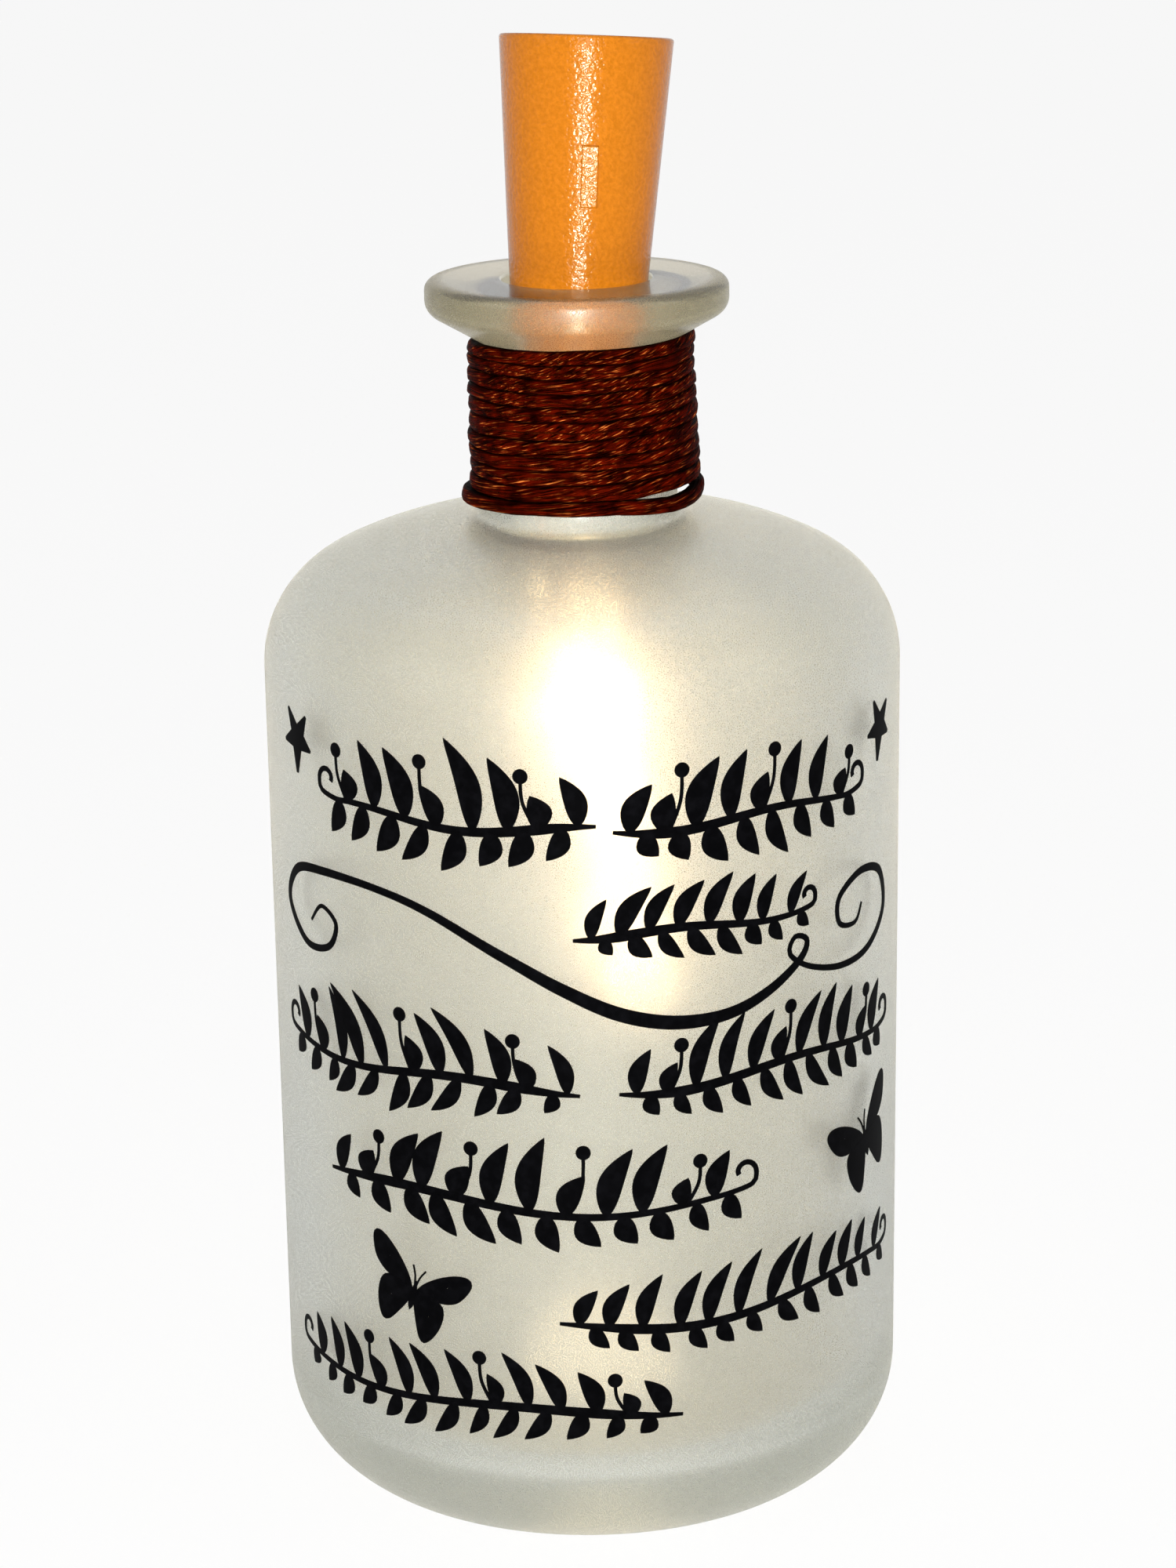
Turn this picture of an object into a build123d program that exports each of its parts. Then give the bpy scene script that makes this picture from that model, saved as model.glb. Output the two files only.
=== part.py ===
"""Cork bottle light: a frosted glass bottle with a cord-wound neck, closed by a
cork-coloured plastic stopper that carries button cells, a slide switch and a
bundle of small lights hanging inside the bottle.

Millimetres, +Z up, origin at the centre of the base, front of the bottle at -Y.
"""

import os
from math import acos, cos, degrees, pi, radians, sin, sqrt, tan

from build123d import *

os.makedirs("parts", exist_ok=True)

# Bottle body
body_diameter = 82.0
glass_wall = 3.0
base_glass = 8.5
corner_radius = 14.3
corner_turn = 53.0
heel_radius = 8.0
floor_corner_radius = 10.0
punt_diameter = 50.0
punt_floor_diameter = 25.0
punt_rise = 1.6

# Shoulder: a tight bend above the upright wall, then a flatter crown up to the neck
shoulder_height = 109.5
bend_radius = 15.2
bend_turn = 64.0
crown_radius = 48.8

# Neck and lip
neck_diameter = 25.0
neck_root_radius = 2.6
mouth_diameter = 18.8
mouth_root_radius = 3.0
mouth_edge = 0.4
lip_diameter = 38.4
lip_rise = 48.9
lip_edge_radius = 1.3
lip_band = 1.2
lip_under_radius = 2.2
lip_under_slope = 30.0

# Cord wound round the neck
cord_turns = 11
cord_diameter = 1.34
cord_sides = 4
cord_stand_off = 0.15
winding_foot_rise = 0.2

# Stopper: a tapered plug, hollow from the top, leaning to the right and back in the mouth
stopper_length = 47.5
stopper_top_diameter = 21.8
stopper_bottom_diameter = 15.0
stopper_insertion = 17.8
stopper_lean_right = 2.7
stopper_lean_back = 6.4
stopper_shift_right = 0.3
stopper_shift_back = 0.22
stopper_edge = 0.4
stopper_floor = 2.4
cap_recess_diameter = 18.3
carrier_bore_diameter = 15.2
lead_chamber_diameter = 12.0
bar_length = 7.6
bar_width = 2.1
bar_raise = 0.35
bar_height = 30.4
bar_offset = 0.85

# Circuit board in the foot of the battery bore
board_clearance = 0.25
board_thickness = 1.0
resistor_length = 2.0
resistor_width = 1.25
resistor_height = 0.55
resistor_offset = 5.2
solder_diameter = 1.9
solder_tip_diameter = 0.9
solder_height = 0.7
leaf_thickness = 0.25
cell_leaf_span = 6.0
cell_leaf_width = 2.4
cell_leaf_offset = 2.6
return_leaf_span = 3.6
return_leaf_width = 1.6

# Battery carrier
carrier_clearance = 0.2
seat_clearance = 0.1
cap_thickness = 3.0
cap_edge = 0.3
finger_recess_length = 9.6
finger_recess_width = 4.6
finger_recess_depth = 1.5
nail_notch_width = 5.0
nail_notch_depth = 1.2
cage_lift = 2.5
cage_floor = 1.4
cell_count = 3
cell_diameter = 11.6
cell_height = 5.4
cell_step_diameter = 9.8
cell_step = 0.9
cell_clearance = 0.15
leaf_window_diameter = 7.4
plate_diameter = 9.0
plate_thickness = 0.3
strip_width = 2.4
strip_thickness = 0.4
strip_foot = 1.8

# Slide switch
switch_length = 8.6
switch_width = 3.6
switch_height = 3.4
switch_travel = 2.0
switch_gap = 4.1
knob_length = 3.0
knob_width = 1.5
knob_root = 0.6
knob_drop = 0.5
knob_ribs = 3
knob_rib_depth = 0.25
slot_clearance = 0.2
terminal_count = 3
terminal_pitch = 2.5
terminal_width = 0.6
terminal_thickness = 0.4
terminal_length = 2.0

# Outlet bush, lead and bundle of lights
bush_diameter = 4.0
bush_flange_diameter = 6.0
bush_flange = 0.7
lead_diameter = 0.45
lead_sides = 4
lead_clearance = 0.1
lead_straight = 4.0
lead_bend_drop = 30.9
bundle_runs = 12
bundle_radius = 5.2
bundle_drop = 37.4
bundle_length = 59.0
bundle_stagger = 6.0
bundle_lean = 2.5
bundle_first_angle = 165.0
bottom_shares = (0.0, 0.6, 0.2, 0.9, 0.1, 0.5)
top_shares = (0.7, 0.0, 0.9, 0.3, 0.8)
bead_count = 15
bead_sides = 6
bead_start = 47.0
bead_spacing = 47.0
bead_length = 2.8
bead_diameter = 2.0
bead_edge = 0.5
corner_share = 0.45

body_radius = body_diameter / 2
neck_radius = neck_diameter / 2
mouth_radius = mouth_diameter / 2
lip_radius = lip_diameter / 2
lip_height = shoulder_height + lip_rise


def polar(centre, radius, angle):
    """Point on a circle in a profile plane, at an angle in degrees."""
    return (centre[0] + radius * cos(radians(angle)), centre[1] + radius * sin(radians(angle)))


def root_arc_centre(crown, crown_size, wall, root_size):
    """Centre of the arc that rolls a crown arc up into an upright wall."""
    across = wall + root_size
    reach = crown_size + root_size
    return (across, crown[1] + sqrt(reach**2 - (across - crown[0]) ** 2))


def angle_to(start, end):
    """Direction from one profile point to another, in degrees."""
    run = (end[0] - start[0], end[1] - start[1])
    return degrees(acos(run[0] / sqrt(run[0] ** 2 + run[1] ** 2)))


def arc_points(centre, radius, start, end):
    """Start, middle and end of an arc between two angles in degrees."""
    return [polar(centre, radius, angle) for angle in (start, (start + end) / 2, end)]


# Centres of the bottle's arcs in its half section, from the base up
corner_centre = (
    body_radius - corner_radius,
    heel_radius + (corner_radius - heel_radius) * sin(radians(corner_turn)),
)
heel_centre = polar(corner_centre, corner_radius - heel_radius, -corner_turn)
bend_centre = (body_radius - bend_radius, shoulder_height)
crown_centre = polar(bend_centre, bend_radius - crown_radius, bend_turn)
root_centre = root_arc_centre(crown_centre, crown_radius, neck_radius, neck_root_radius)
root_angle = angle_to(crown_centre, root_centre)
inner_crown = crown_radius - glass_wall
mouth_root_centre = root_arc_centre(crown_centre, inner_crown, mouth_radius, mouth_root_radius)
mouth_root_angle = angle_to(crown_centre, mouth_root_centre)
inner_radius = body_radius - glass_wall
floor_corner_centre = (inner_radius - floor_corner_radius, base_glass + floor_corner_radius)

# The lip's rounded band, and the slope under it down to the neck
lip_edge_centre = (lip_radius - lip_edge_radius, lip_height - lip_edge_radius)
lip_under_centre = (lip_radius - lip_under_radius, lip_height - lip_edge_radius - lip_band)
slope_start = polar(lip_under_centre, lip_under_radius, lip_under_slope - 90)


def slope_height(radius):
    """Height of the lip's underside at a distance from the bottle's axis."""
    return slope_start[1] - (slope_start[0] - radius) * tan(radians(lip_under_slope))


with BuildPart() as glass_bottle:
    with BuildSketch(Plane.XZ) as bottle_section:
        with BuildLine():
            Line((0, punt_rise), (punt_floor_diameter / 2, punt_rise))
            Line((punt_floor_diameter / 2, punt_rise), (punt_diameter / 2, 0))
            Line((punt_diameter / 2, 0), (heel_centre[0], 0))
            ThreePointArc(*arc_points(heel_centre, heel_radius, -90, -corner_turn))
            ThreePointArc(*arc_points(corner_centre, corner_radius, -corner_turn, 0))
            Line((body_radius, corner_centre[1]), (body_radius, shoulder_height))
            ThreePointArc(*arc_points(bend_centre, bend_radius, 0, bend_turn))
            ThreePointArc(*arc_points(crown_centre, crown_radius, bend_turn, root_angle))
            ThreePointArc(*arc_points(root_centre, neck_root_radius, root_angle + 180, 180))
            Line((neck_radius, root_centre[1]), (neck_radius, slope_height(neck_radius)))
            Line((neck_radius, slope_height(neck_radius)), slope_start)
            ThreePointArc(*arc_points(lip_under_centre, lip_under_radius, lip_under_slope - 90, 0))
            Line((lip_radius, lip_under_centre[1]), (lip_radius, lip_edge_centre[1]))
            ThreePointArc(*arc_points(lip_edge_centre, lip_edge_radius, 0, 90))
            Line((lip_edge_centre[0], lip_height), (mouth_radius + mouth_edge, lip_height))
            Line((mouth_radius + mouth_edge, lip_height), (mouth_radius, lip_height - mouth_edge))
            Line((mouth_radius, lip_height - mouth_edge), (mouth_radius, mouth_root_centre[1]))
            ThreePointArc(*arc_points(mouth_root_centre, mouth_root_radius, 180, mouth_root_angle + 180))
            ThreePointArc(*arc_points(crown_centre, inner_crown, mouth_root_angle, bend_turn))
            ThreePointArc(*arc_points(bend_centre, bend_radius - glass_wall, bend_turn, 0))
            Line((inner_radius, shoulder_height), (inner_radius, floor_corner_centre[1]))
            ThreePointArc(*arc_points(floor_corner_centre, floor_corner_radius, 0, -90))
            Line((floor_corner_centre[0], base_glass), (0, base_glass))
            Line((0, base_glass), (0, punt_rise))
        make_face()
    revolve(axis=Axis.Z)
glass_bottle.part.label = "glass_bottle"


def biarc(start, start_way, end, end_way):
    """Draw two tangent arcs from start to end that leave and arrive along the given ways."""
    chord = end - start
    both = start_way + end_way
    spread = 4 - both.dot(both)
    lean = chord.dot(both)
    reach = (sqrt(lean**2 + spread * chord.dot(chord)) - lean) / spread
    first = start + start_way * reach
    second = end - end_way * reach
    middle = (first + second) * 0.5
    TangentArc(start, middle, tangent=start_way)
    TangentArc(middle, end, tangent=second - first)


def least_gap(wire, diameter, step):
    """Least gap between stretches of a tube that lie more than a turn of its size apart."""
    count = round(wire.length / step)
    spots = [wire.position_at(index / count) for index in range(count + 1)]
    apart = round(pi * diameter / step) + 1
    pairs = ((first, second) for first in range(count) for second in range(first + apart, count + 1))
    return round(min((spots[first] - spots[second]).length for first, second in pairs) - diameter, 2)


# Cord round the neck: one helix, on biarcs of half a turn, with both ends at the back
cord_radius = cord_diameter / 2
winding_radius = neck_radius + cord_stand_off + cord_radius
winding_start_height = root_centre[1] + winding_foot_rise
winding_head_room = (cord_radius + cord_stand_off) / cos(radians(lip_under_slope))
winding_end_height = slope_height(winding_radius) - winding_head_room
winding_pitch = (winding_end_height - winding_start_height) / cord_turns


def winding_point(turn):
    """Point on the cord's centre line after a number of turns."""
    angle = pi / 2 + 2 * pi * turn
    height = winding_start_height + winding_pitch * turn
    return Vector(winding_radius * cos(angle), winding_radius * sin(angle), height)


def winding_way(turn):
    """Direction of the cord's centre line after a number of turns."""
    angle = pi / 2 + 2 * pi * turn
    along = 2 * pi * winding_radius
    return Vector(-along * sin(angle), along * cos(angle), winding_pitch).normalized()


with BuildPart() as neck_cord:
    with BuildLine() as cord_line:
        cord_start = winding_point(0) - winding_way(0) * cord_diameter
        Line(cord_start, winding_point(0))
        for half in range(2 * cord_turns):
            turn = half / 2
            next_turn = turn + 1 / 2
            biarc(winding_point(turn), winding_way(turn), winding_point(next_turn), winding_way(next_turn))
        cord_end = winding_point(cord_turns) + winding_way(cord_turns) * cord_diameter
        Line(winding_point(cord_turns), cord_end)
    with BuildSketch(Plane(origin=cord_start, z_dir=winding_way(0))):
        RegularPolygon(cord_radius, cord_sides)
    sweep()
neck_cord.part.label = "neck_cord"
print("least gap in the neck cord", least_gap(cord_line.wires()[0], cord_diameter, winding_pitch))

# The stopper's own frame: x to the right, z along its axis, origin in its lower end
stopper_way = Vector(tan(radians(stopper_lean_right)), tan(radians(stopper_lean_back)), 1).normalized()
seat_plane = Plane(
    origin=(stopper_shift_right, stopper_shift_back, lip_height),
    x_dir=(stopper_way.Z, 0, -stopper_way.X),
    z_dir=stopper_way,
)
stopper_plane = seat_plane.offset(-stopper_insertion)
stopper_axis = Axis(stopper_plane.origin, stopper_plane.z_dir)
stopper_section = Plane(stopper_plane.origin, x_dir=stopper_plane.x_dir, z_dir=-stopper_plane.y_dir)
stopper_radius = stopper_bottom_diameter / 2
stopper_taper = (stopper_top_diameter - stopper_bottom_diameter) / 2 / stopper_length


def plug_radius(height):
    """Outer radius of the stopper at a height above its lower end."""
    return stopper_radius + stopper_taper * height


def level(height):
    """Plane across the stopper at a height above its lower end."""
    return stopper_plane.offset(height)


# Heights of what the stopper holds, from its cap down to the circuit board
cap_seat_height = stopper_length - cap_thickness
cap_bottom_height = cap_seat_height + seat_clearance
switch_bottom_height = cap_bottom_height - switch_height
plate_height = switch_bottom_height - switch_gap
stack_height = cell_count * cell_height
stack_bottom_height = plate_height - stack_height
cage_bottom_height = stack_bottom_height - cage_floor
board_top_height = cage_bottom_height - cage_lift
board_seat_height = board_top_height - board_thickness

cap_recess_radius = cap_recess_diameter / 2
carrier_bore_radius = carrier_bore_diameter / 2
chamber_radius = lead_chamber_diameter / 2
bush_radius = bush_diameter / 2
bar_root = plug_radius(bar_height)
bar_plane = Plane(
    stopper_plane.from_local_coords((bar_offset, -sqrt(bar_root**2 - bar_offset**2), bar_height)),
    x_dir=stopper_plane.x_dir,
    z_dir=-stopper_plane.y_dir - stopper_plane.z_dir * stopper_taper,
)

with BuildPart() as stopper_shell:
    with BuildSketch(stopper_section):
        with BuildLine():
            Polyline(
                (bush_radius, 0),
                (stopper_radius - stopper_edge, 0),
                (plug_radius(stopper_edge), stopper_edge),
                (plug_radius(stopper_length - stopper_edge), stopper_length - stopper_edge),
                (plug_radius(stopper_length) - stopper_edge, stopper_length),
                (cap_recess_radius, stopper_length),
                (cap_recess_radius, cap_seat_height),
                (carrier_bore_radius, cap_seat_height),
                (carrier_bore_radius, board_seat_height),
                (chamber_radius, board_seat_height),
                (chamber_radius, stopper_floor),
                (bush_radius, stopper_floor),
                close=True,
            )
        make_face()
    revolve(axis=stopper_axis)
    with BuildSketch(bar_plane.offset(-bar_raise)):
        Rectangle(bar_width, bar_length)
    extrude(amount=2 * bar_raise)
stopper_shell.part.label = "stopper_shell"

# Bush in the stopper's floor, and the lead from the board down through it
lead_radius = lead_diameter / 2
lead_hole_radius = lead_radius + lead_clearance

with BuildPart() as outlet_bush:
    with BuildSketch(level(-bush_flange)):
        Circle(bush_flange_diameter / 2)
        Circle(lead_hole_radius, mode=Mode.SUBTRACT)
    extrude(amount=bush_flange)
    with BuildSketch(level(0)):
        Circle(bush_radius)
        Circle(lead_hole_radius, mode=Mode.SUBTRACT)
    extrude(amount=stopper_floor)
outlet_bush.part.label = "outlet_bush"

board_radius = carrier_bore_radius - board_clearance

with BuildPart() as inner_lead:
    with BuildSketch(level(-bush_flange)):
        Circle(lead_radius)
    extrude(amount=bush_flange + board_top_height)
inner_lead.part.label = "inner_lead"

with BuildPart() as circuit_board:
    with BuildSketch(level(board_seat_height)):
        Circle(board_radius)
        Circle(lead_hole_radius, mode=Mode.SUBTRACT)
    extrude(amount=board_thickness)
circuit_board.part.label = "circuit_board"

with BuildPart() as solder_joint:
    with BuildSketch(level(board_top_height)):
        Circle(solder_diameter / 2)
    with BuildSketch(level(board_top_height + solder_height)):
        Circle(solder_tip_diameter / 2)
    loft()
solder_joint.part.label = "solder_joint"

with BuildPart() as board_resistor:
    with BuildSketch(level(board_top_height)):
        with Locations((resistor_offset, 0)):
            Rectangle(resistor_width, resistor_length)
    extrude(amount=resistor_height)
board_resistor.part.label = "board_resistor"

# Spring leaves on the board, under the lowest cell and the side strip
cell_leaf_rise = stack_bottom_height - board_top_height - seat_clearance
return_leaf_rise = cage_bottom_height - strip_thickness - board_top_height - seat_clearance


def contact_leaf(centre, span, rise, width):
    """An arched spring leaf that stands on the board across a place on its y axis."""
    leaf_plane = Plane(
        stopper_plane.from_local_coords((0, centre, board_top_height)),
        x_dir=stopper_plane.x_dir,
        z_dir=-stopper_plane.y_dir,
    )
    with BuildPart() as leaf:
        with BuildSketch(leaf_plane):
            with BuildLine():
                ThreePointArc((-span / 2, 0), (0, rise), (span / 2, 0))
                Line((span / 2, 0), (span / 2 - leaf_thickness, 0))
                inner_foot = span / 2 - leaf_thickness
                ThreePointArc((inner_foot, 0), (0, rise - leaf_thickness), (-inner_foot, 0))
                Line((-inner_foot, 0), (-span / 2, 0))
            make_face()
        extrude(amount=width / 2, both=True)
    return leaf.part


return_leaf_offset = board_radius - return_leaf_width
cell_leaf = contact_leaf(-cell_leaf_offset, cell_leaf_span, cell_leaf_rise, cell_leaf_width)
cell_leaf.label = "cell_leaf"
return_leaf = contact_leaf(return_leaf_offset, return_leaf_span, return_leaf_rise, return_leaf_width)
return_leaf.label = "return_leaf"

# Cage: a round post with an open front pocket for the cells and one above for the switch
cage_radius = carrier_bore_radius - carrier_clearance
pocket_radius = cell_diameter / 2 + cell_clearance
pocket_height = stack_height + plate_thickness + seat_clearance
strip_top_height = switch_bottom_height - terminal_length
arm_length = cage_radius + terminal_thickness / 2
arm_middle = (cage_radius - terminal_thickness / 2) / 2
knob_slot_length = knob_length + switch_travel + 2 * slot_clearance

with BuildPart() as battery_cage:
    with BuildSketch(level(cage_bottom_height)):
        Circle(cage_radius)
    extrude(amount=cap_bottom_height - cage_bottom_height)
    with BuildSketch(level(stack_bottom_height)):
        Circle(pocket_radius)
        with Locations((0, -cage_radius)):
            Rectangle(2 * pocket_radius, 2 * cage_radius)
    extrude(amount=pocket_height, mode=Mode.SUBTRACT)
    with BuildSketch(level(switch_bottom_height)):
        with Locations((0, -cage_radius / 2)):
            Rectangle(switch_length + 2 * slot_clearance, cage_radius + switch_width + 2 * slot_clearance)
    extrude(amount=switch_height, mode=Mode.SUBTRACT)
    with BuildSketch(level(switch_bottom_height - terminal_length - slot_clearance)):
        Rectangle(switch_length - terminal_pitch, terminal_thickness + 2 * slot_clearance)
    extrude(amount=terminal_length + slot_clearance, mode=Mode.SUBTRACT)
    with BuildSketch(level(cage_bottom_height)):
        Circle(leaf_window_diameter / 2)
        with Locations((0, -cage_radius / 2)):
            Rectangle(leaf_window_diameter, cage_radius)
    extrude(amount=cage_floor, mode=Mode.SUBTRACT)
    with BuildSketch(level(plate_height)):
        with Locations((-terminal_pitch, 0)):
            Rectangle(terminal_width + slot_clearance, terminal_thickness + 2 * slot_clearance)
    extrude(amount=strip_top_height - plate_height, mode=Mode.SUBTRACT)
    with BuildSketch(level(cage_bottom_height)):
        with Locations((0, cage_radius)):
            Rectangle(strip_width + slot_clearance, 2 * strip_thickness)
    extrude(amount=strip_top_height - cage_bottom_height, mode=Mode.SUBTRACT)
    with BuildSketch(level(strip_top_height - strip_thickness)):
        with Locations((0, arm_middle)):
            Rectangle(strip_width + slot_clearance, arm_length + slot_clearance)
    extrude(amount=strip_thickness, mode=Mode.SUBTRACT)
battery_cage.part.label = "battery_cage"


def button_cell(index):
    """A button cell: wide can below, narrower pole face on top."""
    bottom = stack_bottom_height + index * cell_height
    radius = cell_diameter / 2
    step_radius = cell_step_diameter / 2
    with BuildPart() as cell:
        with BuildSketch(stopper_section):
            with BuildLine():
                Polyline(
                    (0, bottom),
                    (step_radius, bottom),
                    (step_radius, bottom + cell_step),
                    (radius, bottom + cell_step),
                    (radius, bottom + cell_height),
                    (0, bottom + cell_height),
                    close=True,
                )
            make_face()
        revolve(axis=stopper_axis)
    return cell.part


cell_names = ("cell_lower", "cell_middle", "cell_upper")
cells = [button_cell(index) for index in range(cell_count)]

with BuildPart() as upper_contact:
    with BuildSketch(level(plate_height)):
        Circle(plate_diameter / 2)
    extrude(amount=plate_thickness)
    with BuildSketch(level(plate_height)):
        with Locations((-terminal_pitch, 0)):
            Rectangle(terminal_width, terminal_thickness)
    extrude(amount=strip_top_height - plate_height)
upper_contact.part.label = "upper_contact"

with BuildPart() as side_strip:
    with BuildSketch(level(cage_bottom_height - strip_thickness)):
        with Locations((0, cage_radius - strip_foot / 2)):
            Rectangle(strip_width, strip_foot)
    extrude(amount=strip_thickness)
    with BuildSketch(level(cage_bottom_height)):
        with Locations((0, cage_radius - strip_thickness / 2)):
            Rectangle(strip_width, strip_thickness)
    extrude(amount=strip_top_height - cage_bottom_height)
    with BuildSketch(level(strip_top_height - strip_thickness)):
        with Locations((0, arm_middle)):
            Rectangle(strip_width, arm_length)
    extrude(amount=strip_thickness)
side_strip.part.label = "side_strip"

# Slide switch under the cap, with its knob in a finger recess
with BuildPart() as switch_case:
    with BuildSketch(level(switch_bottom_height)):
        Rectangle(switch_length, switch_width)
    extrude(amount=switch_height)
    with BuildSketch(level(cap_bottom_height - knob_root)):
        Rectangle(knob_slot_length, knob_width + 2 * slot_clearance)
    extrude(amount=knob_root, mode=Mode.SUBTRACT)
switch_case.part.label = "switch_case"

with BuildPart() as switch_terminals:
    with BuildSketch(level(switch_bottom_height - terminal_length)):
        with GridLocations(terminal_pitch, 0, terminal_count, 1):
            Rectangle(terminal_width, terminal_thickness)
    extrude(amount=terminal_length)
switch_terminals.part.label = "switch_terminals"

recess_floor_height = stopper_length - finger_recess_depth
knob_bottom_height = cap_bottom_height - knob_root + slot_clearance / 2
knob_top_height = stopper_length - knob_drop

with BuildPart() as switch_slider:
    with BuildSketch(level(knob_bottom_height)):
        with Locations((-switch_travel / 2, 0)):
            Rectangle(knob_length, knob_width)
    extrude(amount=knob_top_height - knob_bottom_height)
    with BuildSketch(level(knob_top_height)):
        with Locations((-switch_travel / 2, 0)):
            with GridLocations(knob_length / knob_ribs, 0, knob_ribs, 1):
                Rectangle(knob_length / knob_ribs / 2, knob_width)
    extrude(amount=-knob_rib_depth, mode=Mode.SUBTRACT)
switch_slider.part.label = "switch_slider"

with BuildPart() as carrier_cap:
    with BuildSketch(level(cap_bottom_height)):
        Circle(cap_recess_radius - carrier_clearance)
    extrude(amount=cap_thickness - seat_clearance)
    chamfer(carrier_cap.edges().sort_by(stopper_axis)[-1], length=cap_edge)
    with BuildSketch(level(recess_floor_height)):
        SlotOverall(finger_recess_length, finger_recess_width)
    extrude(amount=finger_recess_depth, mode=Mode.SUBTRACT)
    with BuildSketch(level(cap_bottom_height)):
        Rectangle(knob_slot_length, knob_width + 2 * slot_clearance)
    extrude(amount=cap_thickness, mode=Mode.SUBTRACT)
    with BuildSketch(level(stopper_length - nail_notch_depth)):
        with Locations((0, -cap_recess_radius)):
            Circle(nail_notch_width / 2)
    extrude(amount=nail_notch_depth, mode=Mode.SUBTRACT)
carrier_cap.part.label = "carrier_cap"

# Bundle of lights: a lead down from the bush, then runs set round a slim leaning barrel
exit_point = stopper_plane.from_local_coords((0, 0, -bush_flange))
exit_way = -stopper_plane.z_dir
hang_way = Vector(sin(radians(bundle_lean)), 0, -cos(radians(bundle_lean)))
lead_bend_height = lip_height - lead_bend_drop
bundle_top = lip_height - bundle_drop
bundle_bottom = bundle_top - bundle_length
hang_top = Vector(exit_point.X, 0, bundle_top)


def bundle_point(run, height):
    """Point on one run of the bundle at a height."""
    angle = radians(bundle_first_angle) + 2 * pi * run / bundle_runs
    drop = hang_way * ((bundle_top - height) / cos(radians(bundle_lean)))
    return hang_top + Vector(bundle_radius * cos(angle), bundle_radius * sin(angle), 0) + drop


def corner_radius_for(before, corner, after):
    """Radius of the bend at a corner of the lead, from its share of the shorter run."""
    arrive = corner - before
    leave = after - corner
    shorter = min(arrive.length, leave.length)
    return shorter * corner_share / tan(radians(arrive.get_angle(leave)) / 2)


bottoms = [bundle_bottom + share * bundle_stagger for share in bottom_shares]
tops = [bundle_top - share * bundle_stagger for share in top_shares]
lead_route = [
    exit_point,
    exit_point + exit_way * lead_straight,
    bundle_point(0, lead_bend_height),
    bundle_point(0, bundle_top - lead_straight),
]
lead_radii = [corner_radius_for(*lead_route[place : place + 3]) for place in range(2)]

with BuildPart() as led_wire:
    with BuildLine() as wire_line:
        FilletPolyline(*lead_route, radius=lead_radii)
        end = lead_route[-1]
        for run in range(bundle_runs):
            down = run % 2 == 0
            heights = bottoms if down else tops
            way = hang_way if down else -hang_way
            last = run == bundle_runs - 1
            turn_height = bundle_top if last else heights[run // 2]
            start, end = end, bundle_point(run, turn_height)
            Line(start, end)
            if not last:
                across = bundle_point(run + 1, turn_height)
                biarc(end, way, across, -way)
                end = across
    with BuildSketch(Plane(origin=exit_point, z_dir=exit_way)):
        RegularPolygon(lead_radius, lead_sides)
    sweep()
led_wire.part.label = "led_wire"

wire_path = wire_line.wires()[0]


def bead_place(bead):
    """Location of one bead, with its length along the wire."""
    along = bead_start + bead * bead_spacing
    spot = wire_path.position_at(along, position_mode=PositionMode.LENGTH)
    way = wire_path.tangent_at(along, position_mode=PositionMode.LENGTH)
    return Plane(origin=spot, z_dir=way).location


with BuildPart() as resin_bead:
    with BuildSketch(Plane.XY.offset(-bead_length / 2)):
        RegularPolygon(bead_diameter / 2, bead_sides)
    extrude(amount=bead_length)
    chamfer(resin_bead.faces().filter_by(Axis.Z).edges(), length=bead_edge)

with BuildPart() as led_beads:
    with Locations(*[bead_place(bead) for bead in range(bead_count)]):
        add(resin_bead.part)
led_beads.part.label = "led_beads"

for piece in (
    glass_bottle,
    neck_cord,
    stopper_shell,
    outlet_bush,
    inner_lead,
    circuit_board,
    solder_joint,
    board_resistor,
    battery_cage,
    upper_contact,
    side_strip,
    switch_case,
    switch_terminals,
    switch_slider,
    carrier_cap,
    led_wire,
    led_beads,
):
    export_step(piece.part, f"parts/{piece.part.label}.step")
export_step(cell_leaf, "parts/cell_leaf.step")
export_step(return_leaf, "parts/return_leaf.step")
for name, cell in zip(cell_names, cells):
    cell.label = name
    export_step(cell, f"parts/{name}.step")

print("ways of the stopper's axis and of the switch", stopper_plane.z_dir, stopper_plane.x_dir)
print("length of the string of lights", round(wire_path.length, 1))
print("least gap in the bundle", least_gap(wire_path, lead_diameter, lead_diameter * 2))
print("bends of the lead", [round(radius, 2) for radius in lead_radii])
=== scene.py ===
"""Cork bottle light: a satin glass bottle with printed sprigs and a cord-wound neck, closed by a
cork-coloured stopper that holds its battery carrier, a slide switch and a string of lights.

Every length is in metres unless its name ends in mm, +Z is up and the front of the bottle is at -Y.
"""

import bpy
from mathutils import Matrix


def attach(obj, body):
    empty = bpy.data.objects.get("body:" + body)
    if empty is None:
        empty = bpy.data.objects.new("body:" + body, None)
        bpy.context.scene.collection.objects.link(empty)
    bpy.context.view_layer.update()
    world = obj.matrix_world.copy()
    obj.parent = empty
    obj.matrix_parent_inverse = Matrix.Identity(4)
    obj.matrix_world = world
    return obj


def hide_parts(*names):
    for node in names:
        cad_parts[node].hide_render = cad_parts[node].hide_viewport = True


bl_info = {
    "name": "Cork bottle light",
    "version": (1, 0, 0),
    "blender": (4, 5, 0),
    "location": "3D View > Sidebar > Bottle light",
    "description": "Dresses the frame of a cork bottle light: glass, cord, print, lights and stage",
    "category": "Object",
}

from math import atan2, cos, log, pi, radians, sin, sqrt, tau
from random import Random

import bmesh
import bpy
from bpy.props import FloatProperty, FloatVectorProperty, IntProperty, PointerProperty
from mathutils import Matrix, Vector, noise

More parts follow.
